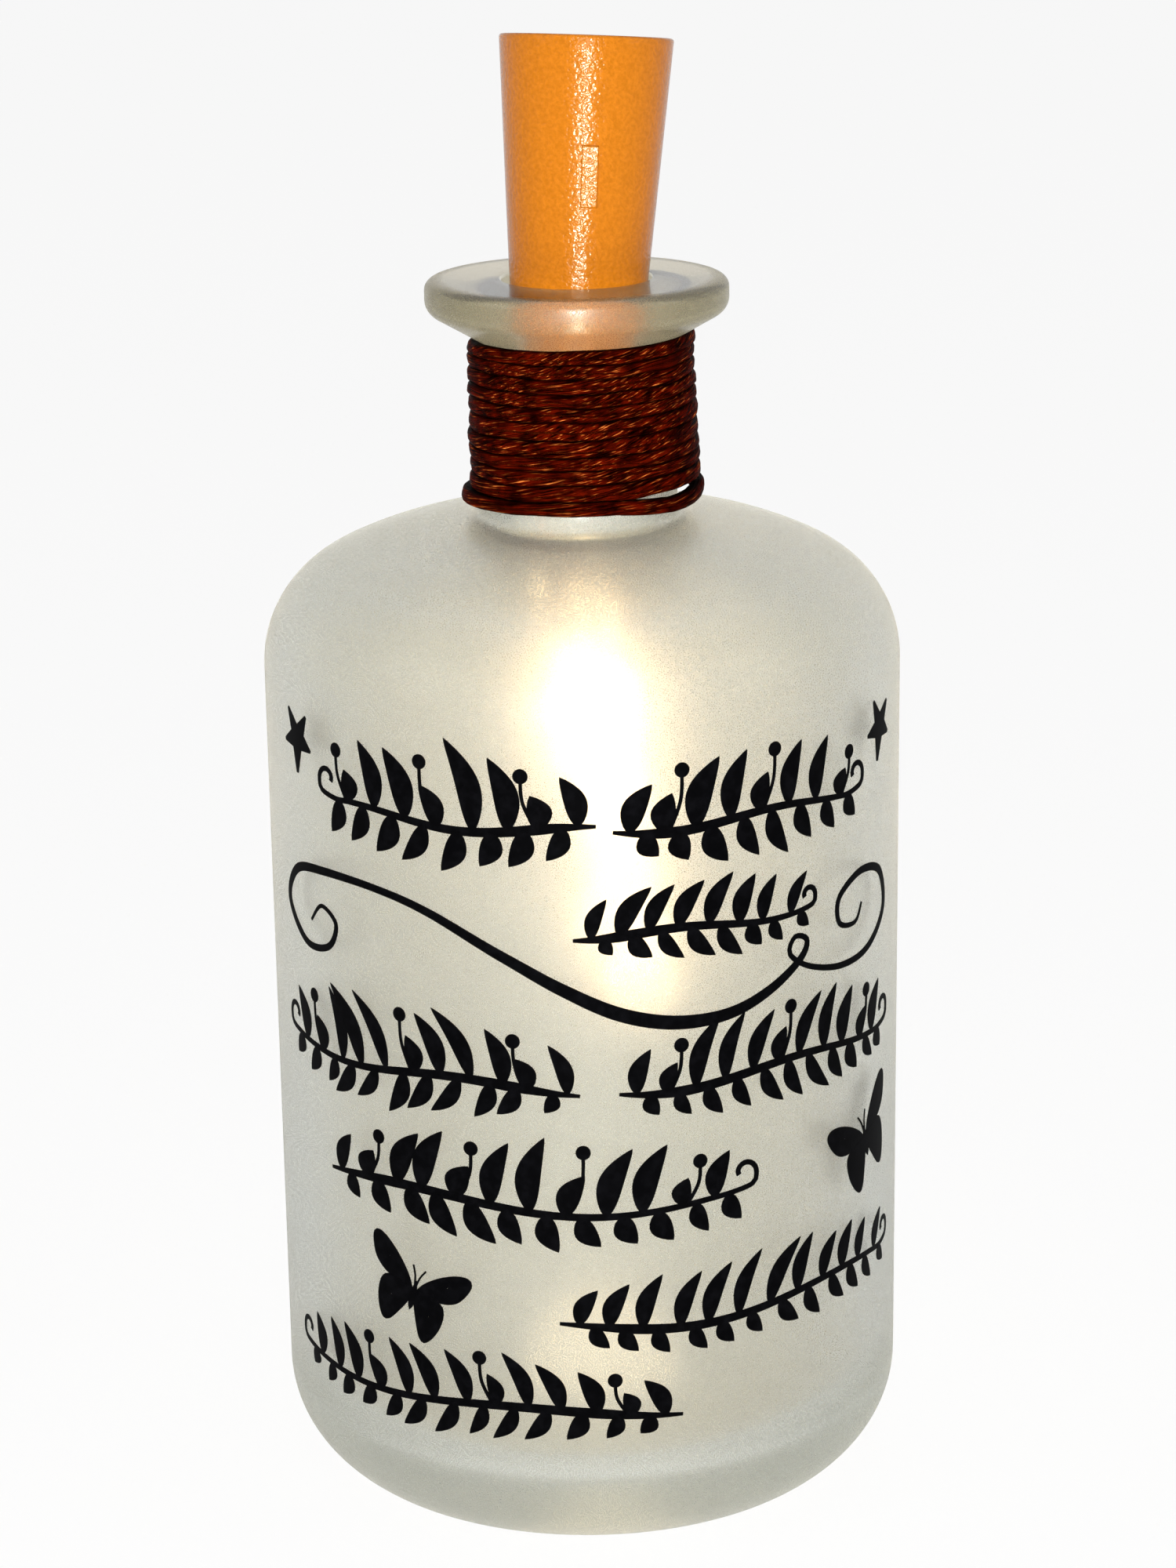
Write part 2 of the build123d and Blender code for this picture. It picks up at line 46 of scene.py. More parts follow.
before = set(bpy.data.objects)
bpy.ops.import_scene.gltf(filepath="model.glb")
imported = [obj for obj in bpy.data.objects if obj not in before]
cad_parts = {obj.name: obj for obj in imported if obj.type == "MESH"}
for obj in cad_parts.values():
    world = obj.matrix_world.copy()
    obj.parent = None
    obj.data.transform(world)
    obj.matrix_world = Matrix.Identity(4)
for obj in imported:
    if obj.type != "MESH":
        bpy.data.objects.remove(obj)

MM = 0.001


# Settings


def setting(prop, **fixed):
    """A kind of setting, which then takes its name, description and default."""
    return lambda name, description, default: prop(
        name=name, description=description, default=default, **fixed)


size = setting(FloatProperty, unit="LENGTH", precision=5)
slant = setting(FloatProperty, unit="ROTATION")
share = setting(FloatProperty, min=0, max=1, subtype="FACTOR")
level = setting(FloatProperty, min=0, precision=4)
number = setting(IntProperty, min=1)
colour = setting(FloatVectorProperty, min=0, max=1, subtype="COLOR", size=3)


def turn(name, description, degrees):
    """A slant given in degrees."""
    return slant(name, description, radians(degrees))


class BottleGlassSettings(bpy.types.PropertyGroup):
    body_radius: size("Body radius", "Outside radius of the upright wall", 0.041)
    wall: size("Wall", "Thickness of the glass wall", 0.003)
    base_glass: size("Base glass", "Height of the inside floor", 0.0085)
    corner_radius: size("Corner radius", "Large arc between wall and heel", 0.0143)
    corner_turn: turn("Corner turn", "How far the large arc turns", 53)
    heel_radius: size("Heel radius", "Small arc from the corner to the base ring", 0.008)
    floor_corner_radius: size("Floor corner", "Arc between the inside floor and wall", 0.010)
    punt_radius: size("Punt radius", "Radius of the hollow under the base", 0.025)
    punt_rise: size("Punt rise", "Depth of the hollow under the base", 0.0016)
    shoulder_height: size("Shoulder height", "Height where the wall begins to bend in", 0.1095)
    bend_radius: size("Bend radius", "Tight arc above the wall", 0.0152)
    bend_turn: turn("Bend turn", "How far the tight arc turns", 64)
    crown_radius: size("Crown radius", "Flatter arc from the bend to the neck", 0.0488)
    neck_radius: size("Neck radius", "Outside radius of the neck", 0.0125)
    neck_root_radius: size("Neck root", "Arc between the crown and the neck", 0.0026)
    mouth_radius: size("Mouth radius", "Radius of the bore", 0.0094)
    mouth_root_radius: size("Mouth root", "Arc between the inside crown and the bore", 0.003)
    mouth_edge: size("Mouth edge", "Rounding of the bore's upper edge", 0.0004)
    lip_radius: size("Lip radius", "Outside radius of the lip", 0.0192)
    lip_height: size("Lip height", "Height of the lip's flat top", 0.1584)
    lip_edge_radius: size("Lip edge", "Rounding of the lip's upper edge", 0.0013)
    lip_band: size("Lip band", "Upright height of the lip's edge", 0.0012)
    lip_under_radius: size("Lip under", "Rounding below the lip's edge", 0.0022)
    lip_under_slope: turn("Lip slope", "Slope of the lip's underside", 30)
    facets: number("Facets", "Steps round the bottle", 160)
    satin_colour: colour("Satin colour", "Colour of the satin glass", (0.85, 0.88, 0.885))
    body_colour: colour("Glass body colour", "Colour that deep glass takes on", (0.80, 0.81, 0.78))
    body_density: level("Glass body density", "How soon deep glass takes on its colour", 78.0)
    fine_roughness: share("Fine roughness", "Roughness of the smoother grains of the satin", 0.22)
    coarse_roughness: share("Coarse roughness", "Roughness of the coarser grains of the satin", 0.8)
    clearness: share("Clearness", "Share of the light that the satin lets pass", 0.84)
    # Painted shade and glow: a darker, orange tint on the lip stands in for its shade and for the
    # stopper's glow through it, and the glass darkens towards the bottom as painted shade
    shade_and_glow_colour: colour("Worn satin", "Colour of worn satin, as on the lip", (0.535, 0.460, 0.295))
    base_wear: share("Base wear", "Share of worn satin round the base", 0.34)
    wear_height: size("Wear height", "Height where the wear round the base ends", 0.034)
    lip_etch: share("Lip etch", "Roughness of the lip beside the satin", 0.72)
    top_etch: share("Top etch", "Roughness of the lip's top and the mouth beside the satin", 0.32)
    inside_etch: share("Inside etch", "Roughness of the inside beside the satin", 0.15)
    through_colour: colour("Passing light", "Colour that one face leaves of a lamp's light",
                           (0.90, 0.91, 0.89))


class NeckCordSettings(bpy.types.PropertyGroup):
    low_height: size("Lowest turn", "Height of the lowest turn's middle", 0.1306)
    high_height: size("Highest turn", "Height of the highest turn's middle", 0.1514)
    thickness: size("Thickness", "Thickness of the pressed cord", 0.0019)
    wander: size("Wander", "How far turns wander up and down", 0.00042)
    foot_bulge: size("Foot bulge", "How far the lowest turn stands proud", 0.0012)
    foot_drop: size("Foot drop", "How far the lowest turn sags at its gap", 0.00075)
    set_right: size("Set to the right", "How far the winding stands out to the right", 0.00042)
    swing_right: size("Swing to the right", "How far the lowest turn swings further right", 0.0009)
    strands: number("Strands", "Twisted strands in the cord", 2)
    twist_length: size("Twist length", "Length of one twist", 0.058)
    # Darkest fibres, and also the painted shade in the folds between turns
    dark_fibre_and_shade_colour: colour("Dark fibres", "Colour of the cord in its folds", (0.002, 0.0003, 0.0001))
    brown_colour: colour("Brown fibres", "Main colour of the cord", (0.058, 0.0026, 0.0003))
    tan_colour: colour("Tan fibres", "Colour of the rubbed fibres", (0.72, 0.20, 0.040))


class PrintSettings(bpy.types.PropertyGroup):
    film: size("Film", "Thickness of the printed film", 0.00006)
    step: size("Step", "Length of one step along a stroke", 0.0005)
    ink_colour: colour("Ink colour", "Colour of the print", (0.0012, 0.0012, 0.0015))


class StringSettings(bpy.types.PropertyGroup):
    wire_diameter: size("Wire diameter", "Diameter of the varnished wire", 0.00045)
    wire_length: size("Wire length", "Real length of the string of lights", 0.715)
    bead_count: number("Lights", "Resin drops along the wire", 15)
    bead_start: size("First light", "Length of wire before the first drop", 0.047)
    bead_spacing: size("Spacing", "Length of wire between drops", 0.0465)
    bead_length: size("Drop length", "Length of one resin drop", 0.0032)
    bead_radius: size("Drop radius", "Radius of one resin drop", 0.00105)
    glow_colour: colour("Glow colour", "Colour of the lit drops", (1.0, 0.79, 0.52))
    bead_glow: level("Drop glow", "Strength of the lit drops", 5.0)
    lamp_power: level("Lamp power", "Power of the light that the string gives, in watts", 0.0445)


class StopperSettings(bpy.types.PropertyGroup):
    length: size("Length", "Length of the stopper along its axis", 0.0475)
    top_radius: size("Top radius", "Radius of the stopper's upper end", 0.0109)
    bottom_radius: size("Bottom radius", "Radius of the stopper's lower end", 0.0075)
    insertion: size("Insertion", "Length of the stopper that stands in the mouth", 0.0178)
    lean_right: turn("Lean to the right", "Lean of the stopper to the right", 2.7)
    lean_back: turn("Lean back", "Lean of the stopper to the back", 6.4)
    shift_right: size("Shift to the right", "Place of the stopper's axis in the mouth", 0.0003)
    shift_back: size("Shift back", "Place of the stopper's axis in the mouth", 0.00022)
    edge: size("Edge", "Rounding of the stopper's ends", 0.0004)
    floor: size("Floor", "Thickness of the stopper's floor", 0.0024)
    hole_radius: size("Hole radius", "Hole for the bush in the floor", 0.002)
    chamber_radius: size("Chamber radius", "Bore under the circuit board", 0.006)
    board_height: size("Board seat", "Height of the circuit board's seat", 0.016)
    bore_radius: size("Bore radius", "Bore for the battery carrier", 0.0076)
    cap_height: size("Cap seat", "Height of the cap's seat", 0.0445)
    recess_radius: size("Recess radius", "Recess for the cap", 0.00915)
    bar_length: size("Bar length", "Length of the raised bar", 0.0076)
    bar_width: size("Bar width", "Width of the raised bar", 0.0021)
    bar_raise: size("Bar rise", "How far the bar stands out", 0.00035)
    bar_height: size("Bar height", "Height of the bar's middle on the stopper", 0.0304)
    bar_offset: size("Bar offset", "Place of the bar to the right of the middle", 0.00085)
    facets: number("Facets", "Steps round the stopper", 144)
    cork_colour: colour("Cork colour", "Colour of the moulded stopper", (0.46, 0.136, 0.0016))
    grain: size("Grain", "Size of the moulded grain", 0.00048)


class StageSettings(bpy.types.PropertyGroup):
    camera_x: size("Camera X", "Camera to the right of the bottle's axis", 0.00052)
    camera_y: size("Camera Y", "Camera in front of the bottle's axis", -0.4739)
    camera_z: size("Camera Z", "Camera above the table", 0.23416)
    camera_pitch: slant("Pitch", "Tilt of the camera below level", 0.2918)
    camera_roll: slant("Roll", "Roll of the camera", -0.0146)
    lens: level("Lens", "Focal length in millimetres for the long side", 86.886)
    floor_size: size("Floor size", "Side of the floor", 6.0)
    floor_colour: colour("Floor colour", "Colour of the plain floor", (0.93, 0.93, 0.92))
    floor_white: share("Floor white", "Share of plain white in the floor that is seen", 0.9)
    ambient: level("Ambient", "Strength of the even studio light", 0.25)


GROUPS = {
    "bottle_glass": BottleGlassSettings,
    "neck_cord": NeckCordSettings,
    "bottle_print": PrintSettings,
    "light_string": StringSettings,
    "cork_stopper": StopperSettings,
    "bottle_stage": StageSettings,
}


# Shared tools for points and meshes


# Points nearer to each other than this become one
WELD = 1e-7


def polar(centre, radius, angle):
    return (centre[0] + radius * cos(angle), centre[1] + radius * sin(angle))


def part_way(start, end, share):
    """The point at a share of the way from start to end."""
    return tuple(a + (b - a) * share for a, b in zip(start, end))


def arc(centre, radius, start, end, steps):
    """Points of an arc between two angles."""
    return [polar(centre, radius, start + (end - start) * step / steps)
            for step in range(steps + 1)]


def run(start, end, steps):
    """Points of a straight run, without its ends."""
    return [tuple(a + (b - a) * step / steps for a, b in zip(start, end))
            for step in range(1, steps)]


def add_object(name, data):
    """A new object in the scene."""
    piece = bpy.data.objects.new(name, data)
    bpy.context.scene.collection.objects.link(piece)
    return piece


def ring_faces(rings, sides, first=0):
    """Faces between neighbouring rings of points, from a first point on."""
    faces = []
    for ring in range(rings - 1):
        low, high = first + ring * sides, first + (ring + 1) * sides
        for side in range(sides):
            after = (side + 1) % sides
            faces.append((low + side, low + after, high + after, high + side))
    return faces


def end_faces(rings, sides, first=0):
    """The two faces that close a run of rings."""
    last = first + (rings - 1) * sides
    return [tuple(range(first, first + sides)), tuple(range(last, last + sides))]


def mesh_object(name, points, faces, smooth=True, **marks):
    """A new mesh object, its normals outwards, with each mark's values for its points."""
    mesh = bpy.data.meshes.new(name)
    mesh.from_pydata([tuple(point) for point in points], [], faces)
    for mark, values in marks.items():
        if isinstance(values[0], tuple):
            mesh.attributes.new(mark, "FLOAT_VECTOR", "POINT").data.foreach_set(
                "vector", [value for point in values for value in point])
        else:
            mesh.attributes.new(mark, "FLOAT", "POINT").data.foreach_set("value", values)
    shell = bmesh.new()
    shell.from_mesh(mesh)
    bmesh.ops.remove_doubles(shell, verts=shell.verts, dist=WELD)
    bmesh.ops.recalc_face_normals(shell, faces=shell.faces)
    shell.to_mesh(mesh)
    shell.free()
    mesh.polygons.foreach_set("use_smooth", [smooth] * len(mesh.polygons))
    return add_object(name, mesh)


def lathe(name, profile, facets, **marks):
    """Turn a profile of (radius, height) points round the Z axis, with marks for its points."""
    angles = [tau * step / facets for step in range(facets)]
    points = [(radius * cos(angle), radius * sin(angle), height) for radius, height in profile
              for angle in angles]
    marks = {mark: [value for value in values for _ in angles] for mark, values in marks.items()}
    return mesh_object(name, points, ring_faces(len(profile), facets), **marks)


def dress(piece, material):
    """Give a piece one material."""
    piece.data.materials.clear()
    piece.data.materials.append(material)


def finish_piece(piece, material, body, slot, *nodes):
    """Material, body and replaced nodes of a piece; the slot is not used."""
    dress(piece, material)
    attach(piece, body)
    if nodes:
        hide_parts(*nodes)


# Shared tools for materials


WHITE = (1, 1, 1, 1)


def feed(socket, value):
    """Give a socket a constant, or link another socket to it."""
    if isinstance(value, bpy.types.NodeSocket):
        socket.id_data.links.new(value, socket)
    else:
        socket.default_value = value


def add_node(tree, kind, settings=None, **sockets):
    """A shader node with its settings made and its sockets fed."""
    node = tree.nodes.new("ShaderNode" + kind)
    for name, value in (settings or {}).items():
        setattr(node, name, value)
    for name, value in sockets.items():
        feed(node.inputs[name.replace("_", " ")], value)
    return node


def blend_shaders(tree, factor, first, second):
    """The shader of one node blended into another's by a factor."""
    node = add_node(tree, "MixShader", Fac=factor)
    feed(node.inputs[1], first.outputs[0])
    feed(node.inputs[2], second.outputs[0])
    return node.outputs[0]


class Finish:
    """A node material with a Principled shader and short ways to add its textures."""

    def __init__(self, name, **sockets):
        self.material = bpy.data.materials.new(name)
        self.material.use_nodes = True
        self.tree = self.material.node_tree
        self.shader = self.tree.nodes["Principled BSDF"]
        self.out = self.tree.nodes["Material Output"].inputs
        for socket, value in sockets.items():
            self.join(socket.replace("_", " "), value)

    def node(self, kind, settings=None, **sockets):
        return add_node(self.tree, kind, settings, **sockets)

    def join(self, socket, value):
        feed(self.shader.inputs[socket], value)

    def mark(self, name, output="Fac"):
        """A mark of the piece's points."""
        return self.node("Attribute", {"attribute_name": name}).outputs[output]

    def place(self, stretch=(1, 1, 1), mark=None):
        """Coordinates on the piece, from its own space or from a mark."""
        source = self.mark(mark, "Vector") if mark else self.node("TexCoord").outputs["Object"]
        return self.node("Mapping", Vector=source, Scale=stretch).outputs["Vector"]

    def noise(self, scale, detail=3.0, rough=0.5, where=None):
        where = where or self.place()
        noisy = self.node("TexNoise", Vector=where, Scale=scale, Detail=detail, Roughness=rough)
        return noisy.outputs["Fac"]

    def ramp(self, factor, *stops):
        """A colour ramp with stops of (position, colour)."""
        ramp = self.node("ValToRGB", Fac=factor)
        elements = ramp.color_ramp.elements
        while len(elements) < len(stops):
            elements.new(0.5)
        for element, (position, tint) in zip(elements, stops):
            element.position = position
            element.color = (*tint, 1)
        return ramp.outputs["Color"]

    def span(self, value, low, high, start=0, end=1):
        """A value between a start and an end spread over a new range."""
        spread = self.node(
            "MapRange", Value=value, From_Min=start, From_Max=end, To_Min=low, To_Max=high)
        return spread.outputs["Result"]

    def mix(self, factor, first, second, way="MIX"):
        """Two colours mixed or multiplied by a factor."""
        node = self.node("Mix", {"data_type": "RGBA", "blend_type": way})
        for place, value in ((0, factor), (6, first), (7, second)):
            feed(node.inputs[place], (*value, 1) if isinstance(value, tuple) else value)
        return node.outputs[2]

    def product(self, first, second):
        node = self.node("Math", {"operation": "MULTIPLY"})
        feed(node.inputs[0], first)
        feed(node.inputs[1], second)
        return node.outputs[0]

    def bump(self, height, distance, strength=1.0):
        node = self.node("Bump", Height=height, Strength=strength, Distance=distance)
        self.join("Normal", node.outputs["Normal"])


def scaled(tint, share):
    """A colour with each channel times a share, up to 1."""
    return tuple(min(1, channel * share) for channel in tint)


def plain_finish(name, tint, roughness, grain, metallic=0.0, relief=0.00002):
    """A finish with mottled colour, mottled roughness and a fine grain."""
    finish = Finish(name, Metallic=metallic)
    dark, light = scaled(tint, 0.88), scaled(tint, 1.12)
    mottle = finish.noise(1 / grain / 8, 4)
    finish.join("Base Color", finish.ramp(mottle, (0.3, dark), (0.7, light)))
    finish.join("Roughness", finish.span(mottle, roughness * 0.85, min(1, roughness * 1.15)))
    finish.bump(finish.noise(1 / grain, 2), relief)
    return finish.material


# Glass


def root_arc_centre(crown, crown_size, wall, root_size):
    """Centre of the arc that rolls a crown arc up into an upright wall."""
    across = wall + root_size
    return (across, crown[1] + sqrt((crown_size + root_size) ** 2 - (across - crown[0]) ** 2))


def angle_to(start, end):
    return atan2(end[1] - start[1], end[0] - start[0])


def bottle_profile(glass):
    """The bottle's half section: the outside from the middle of the base up to the lip, then the
    inside down. The last value of each arc and run is its number of steps."""
    quarter = pi / 2
    corner = (
        glass.body_radius - glass.corner_radius,
        glass.heel_radius + (glass.corner_radius - glass.heel_radius) * sin(glass.corner_turn),
    )
    heel = polar(corner, glass.corner_radius - glass.heel_radius, -glass.corner_turn)
    bend = (glass.body_radius - glass.bend_radius, glass.shoulder_height)
    crown = polar(bend, glass.bend_radius - glass.crown_radius, glass.bend_turn)
    root = root_arc_centre(crown, glass.crown_radius, glass.neck_radius, glass.neck_root_radius)
    root_angle = angle_to(crown, root)
    inner_crown = glass.crown_radius - glass.wall
    mouth = root_arc_centre(crown, inner_crown, glass.mouth_radius, glass.mouth_root_radius)
    mouth_angle = angle_to(crown, mouth)
    inner_radius = glass.body_radius - glass.wall
    floor = (inner_radius - glass.floor_corner_radius, glass.base_glass + glass.floor_corner_radius)
    edge = (glass.lip_radius - glass.lip_edge_radius, glass.lip_height - glass.lip_edge_radius)
    under = (glass.lip_radius - glass.lip_under_radius, edge[1] - glass.lip_band)
    slope = polar(under, glass.lip_under_radius, glass.lip_under_slope - quarter)
    drop = (slope[0] - glass.neck_radius) * sin(glass.lip_under_slope) / cos(glass.lip_under_slope)
    neck_top = (glass.neck_radius, slope[1] - drop)
    brim = (glass.mouth_radius + glass.mouth_edge, glass.lip_height - glass.mouth_edge)
    punt = [(0, glass.punt_rise)]
    punt += run(punt[0], (glass.punt_radius / 2, glass.punt_rise), 4)
    punt += [
        (glass.punt_radius * (1 + step / 8) / 2, glass.punt_rise * (1 + cos(pi * step / 8)) / 2)
        for step in range(9)
    ]
    outside = punt + arc(heel, glass.heel_radius, -quarter, -glass.corner_turn, 10)
    outside += arc(corner, glass.corner_radius, -glass.corner_turn, 0, 16)
    outside += run((glass.body_radius, corner[1]), (glass.body_radius, glass.shoulder_height), 24)
    outside += arc(bend, glass.bend_radius, 0, glass.bend_turn, 20)
    outside += arc(crown, glass.crown_radius, glass.bend_turn, root_angle, 16)
    outside += arc(root, glass.neck_root_radius, root_angle + pi, pi, 10)
    outside += run((glass.neck_radius, root[1]), neck_top, 12)
    outside += [neck_top] + run(neck_top, slope, 6)
    outside += arc(under, glass.lip_under_radius, glass.lip_under_slope - quarter, 0, 10)
    outside += arc(edge, glass.lip_edge_radius, 0, quarter, 8)
    inside = run((edge[0], glass.lip_height), (brim[0], glass.lip_height), 6)
    inside += arc(brim, glass.mouth_edge, quarter, pi, 4)
    inside += run((glass.mouth_radius, brim[1]), (glass.mouth_radius, mouth[1]), 14)
    inside += arc(mouth, glass.mouth_root_radius, pi, mouth_angle + pi, 10)
    inside += arc(crown, inner_crown, mouth_angle, glass.bend_turn, 16)
    inside += arc(bend, glass.bend_radius - glass.wall, glass.bend_turn, 0, 16)
    inside += run((inner_radius, glass.shoulder_height), (inner_radius, floor[1]), 24)
    inside += arc(floor, glass.floor_corner_radius, 0, -quarter, 12)
    inside += run((floor[0], glass.base_glass), (0, glass.base_glass), 6) + [(0, glass.base_glass)]
    return outside, inside


def satin_glass(glass):
    """Glass etched to a satin on its outside, smoother on the lip and clear on its inside.

    A lamp's light passes straight through and loses a share at each face.
    """
    finish = Finish("satin_glass", IOR=1.5, Specular_Tint=(0.94, 1.0, 0.97, 1))
    satin = tuple(glass.satin_colour)
    cloud = finish.noise(38, 4, 0.55)
    wall = finish.ramp(cloud, (0.3, scaled(satin, 0.97)), (0.7, satin))
    # Painted shade and glow: the lip and the glass towards the bottom take the darker, warmer tint
    finish.join("Base Color", finish.mix(finish.mark("worn"), wall, tuple(glass.shade_and_glow_colour)))
    grain = finish.noise(9000, 1, 0.5)
    roughness = finish.span(grain, glass.fine_roughness, glass.coarse_roughness, 0.38, 0.62)
    etch = finish.mark("etch")
    finish.join("Roughness", finish.product(roughness, etch))
    finish.join("Transmission Weight", finish.span(etch, 1.0, glass.clearness))
    finish.bump(finish.noise(5200, 2), 0.00001, 0.2)
    deep = finish.node(
        "VolumeAbsorption", Color=(*glass.body_colour, 1), Density=glass.body_density)
    feed(finish.out["Volume"], deep.outputs["Volume"])
    through = finish.node("BsdfTransparent", Color=(*glass.through_colour, 1))
    lamp_ray = finish.node("LightPath").outputs["Is Shadow Ray"]
    feed(finish.out["Surface"], blend_shaders(finish.tree, lamp_ray, finish.shader, through))
    return finish.material


class BOTTLELIGHT_OT_glass(bpy.types.Operator):
    """Turn the satin glass bottle"""

    bl_idname = "bottlelight.glass"
    bl_label = "Satin glass bottle"

    def execute(self, context):
        glass = context.scene.bottle_glass
        outside, inside = bottle_profile(glass)
        lip_depth, lip_shade_fade = 0.010, 0.003
        lip_foot = glass.lip_height - lip_depth
        etch = [glass.lip_etch if height > lip_foot else 1.0 for _, height in outside]
        etch += [glass.inside_etch if height < lip_foot else glass.top_etch for _, height in inside]
        # Painted shade and glow over the lip, fading in below it; painted shade fading up from the
        # bottom of the base
        worn = [
            min(1, max(0, (height - lip_foot) / lip_shade_fade))
            + glass.base_wear * max(0, 1 - height / glass.wear_height)
            for _, height in outside
        ]
        bore = glass.mouth_radius + glass.mouth_edge
        # The lip's top takes the same painted shade and glow, the bore none
        worn += [0.0 if radius < bore else worn[-1] for radius, _ in inside]
        bottle = lathe("satin_bottle", outside + inside, glass.facets, etch=etch, worn=worn)
        finish_piece(bottle, satin_glass(glass), "bottle", "frosted_glass", "glass_bottle")
        return {"FINISHED"}


# Neck cord


TURN_WIDTHS = (1.0, 1.1, 1.0, 0.88, 1.2, 1.22, 1.0, 0.9, 1.0, 0.76, 1.1)


def waver(angle, spread, along):
    """Smooth noise round the neck, which also changes along the cord."""
    return noise.noise(Vector((cos(angle) * spread, sin(angle) * spread, along)))


def cord_heights(cord):
    """Height of the cord's middle as a function of turns, wandering as hand-laid turns do."""
    count, total = len(TURN_WIDTHS), sum(TURN_WIDTHS)
    settling, gap_place, gap_span = 1.2, 0.640, 0.085

    def height(turns):
        angle = tau * turns
        whole = min(int(turns), count - 1)
        laid = (sum(TURN_WIDTHS[:whole]) + TURN_WIDTHS[whole] * (turns - whole)) / total
        lay = cord.low_height + (cord.high_height - cord.low_height) * laid
        sway, fine = waver(angle, 0.8, turns * 0.9), waver(angle, 2.6, turns * 2.3 + 40)
        ends = min(1, turns / settling, (count - turns) / settling)
        lay += max(0, ends) * cord.wander * (1.4 * sway + 0.8 * fine)
        gap = max(0, 1 - abs((turns - gap_place) / gap_span)) ** 0.7
        return lay - cord.foot_drop * gap

    return height


def waxed_cord(cord):
    """Waxed cord: dark twisted fibres with a few rubbed strands, and painted shade in its folds."""
    finish = Finish("waxed_cord", Specular_IOR_Level=0.002, Specular_Tint=(1.0, 0.50, 0.30, 1))
    fibres = finish.noise(1.0, 2, 0.6, finish.place((230, 5000, 1), "lay"))
    strands = finish.noise(1.0, 1, 0.5, finish.place((120, 1500, 1), "lay"))
    patches = finish.noise(420, 3, 0.6)
    body = finish.ramp(
        fibres,
        (0.34, tuple(cord.dark_fibre_and_shade_colour)),
        (0.49, tuple(cord.brown_colour)),
        (0.60, scaled(cord.brown_colour, 1.6)),
        (0.72, tuple(cord.tan_colour)),
    )
    shade = finish.ramp(
        finish.product(strands, patches), (0.14, (0.12, 0.08, 0.07)), (0.33, (1.25, 1.2, 1.1)))
    laid = finish.mix(1.0, body, shade, "MULTIPLY")
    # Painted shade: the cord turns dark where the fold mark is high, at the edges where turns meet
    finish.join("Base Color", finish.mix(finish.mark("fold"), laid, tuple(cord.dark_fibre_and_shade_colour)))
    finish.join("Roughness", finish.span(strands, 0.26, 0.55))
    finish.bump(fibres, 0.00045, 1.0)
    return finish.material


class BOTTLELIGHT_OT_neck_cord(bpy.types.Operator):
    """Wind the waxed cord round the neck"""

    bl_idname = "bottlelight.neck_cord"
    bl_label = "Neck cord"

    def execute(self, context):
        cord, glass = context.scene.neck_cord, context.scene.bottle_glass
        height = cord_heights(cord)
        count = len(TURN_WIDTHS)
        pitch = (cord.high_height - cord.low_height) / count
        steps_each, sides, end_steps = 180, 30, 40
        # How turns press on each other, and the turns over which the foot and the swing fade
        pressed, foot_up, foot_down, foot_turns, swing_turns = 0.515, 0.54, 0.5, 1.1, 8.5
        # The cord's own unevenness, its section, and where the painted shade of its folds sets in
        unevenness, swelling, ply_depth, fray_depth = 0.00022, 0.16, 0.07, 0.05
        fray_along, fray_round, squareness = 700, 3.4, 2.9
        shade_start, shade_span = 0.62, 0.30
        steps = count * steps_each
        points, lays, folds = [], [], []
        for step in range(steps + 1):
            turns = step / steps_each
            angle = pi / 2 + tau * turns
            middle = height(turns)
            above = height(turns + 1) if turns + 1 <= count else middle + pitch
            below = height(turns - 1) if turns >= 1 else middle - pitch
            up, down = (above - middle) * pressed, (middle - below) * pressed
            if turns < 1:
                up, down = min(up, pitch * foot_up), pitch * foot_down
            elif turns < 2:
                down = min(down, pitch * foot_up)
            proud = cord.foot_bulge * max(0, 1 - turns / foot_turns) * (0.6 + 0.4 * cos(angle * 2))
            proud += cord.set_right * cos(angle)
            proud += cord.swing_right * max(0, cos(angle)) * max(0, 1 - turns / swing_turns)
            proud += unevenness * waver(angle, 1.3, turns * 3.1 + 70)
            depth = cord.thickness / 2 * (1 + swelling * waver(angle, 1, turns * 1.3 + 9))
            centre = glass.neck_radius + cord.thickness / 2 + proud
            along = tau * centre * turns
            taper = min(1, 0.35 + step / end_steps, 0.35 + (steps - step) / end_steps)
            for side in range(sides):
                around = tau * side / sides
                twisted = around - tau * along / cord.twist_length
                ply = 1 + ply_depth * cos(cord.strands * twisted)
                fray = fray_depth * noise.noise(Vector(
                    (along * fray_along, cos(twisted) * fray_round, sin(twisted) * fray_round)))
                out, rise = cos(around), sin(around)
                square = (abs(out) ** squareness + abs(rise) ** squareness) ** (-1 / squareness)
                reach = centre + depth * out * square * (ply + fray) * taper
                upright = (up if rise > 0 else down) * rise * square * (1 + fray * 0.5) * taper
                points.append((reach * cos(angle), reach * sin(angle), middle + upright))
                lays.append((along, twisted * cord.thickness / 2, 0.0))
                # Painted shade: the fold mark rises towards the top and bottom of the section,
                # where turns press together
                folds.append(min(1, max(0, (abs(rise) - shade_start) / shade_span)))
        faces = ring_faces(steps + 1, sides) + end_faces(steps + 1, sides)
        piece = mesh_object("wound_cord", points, faces, lay=lays, fold=folds)
        finish_piece(piece, waxed_cord(cord), "bottle", "waxed_cord", "neck_cord")
        return {"FINISHED"}


# Print: strokes, leaves and outlines drawn on a sheet (across, up) in millimetres, then wrapped


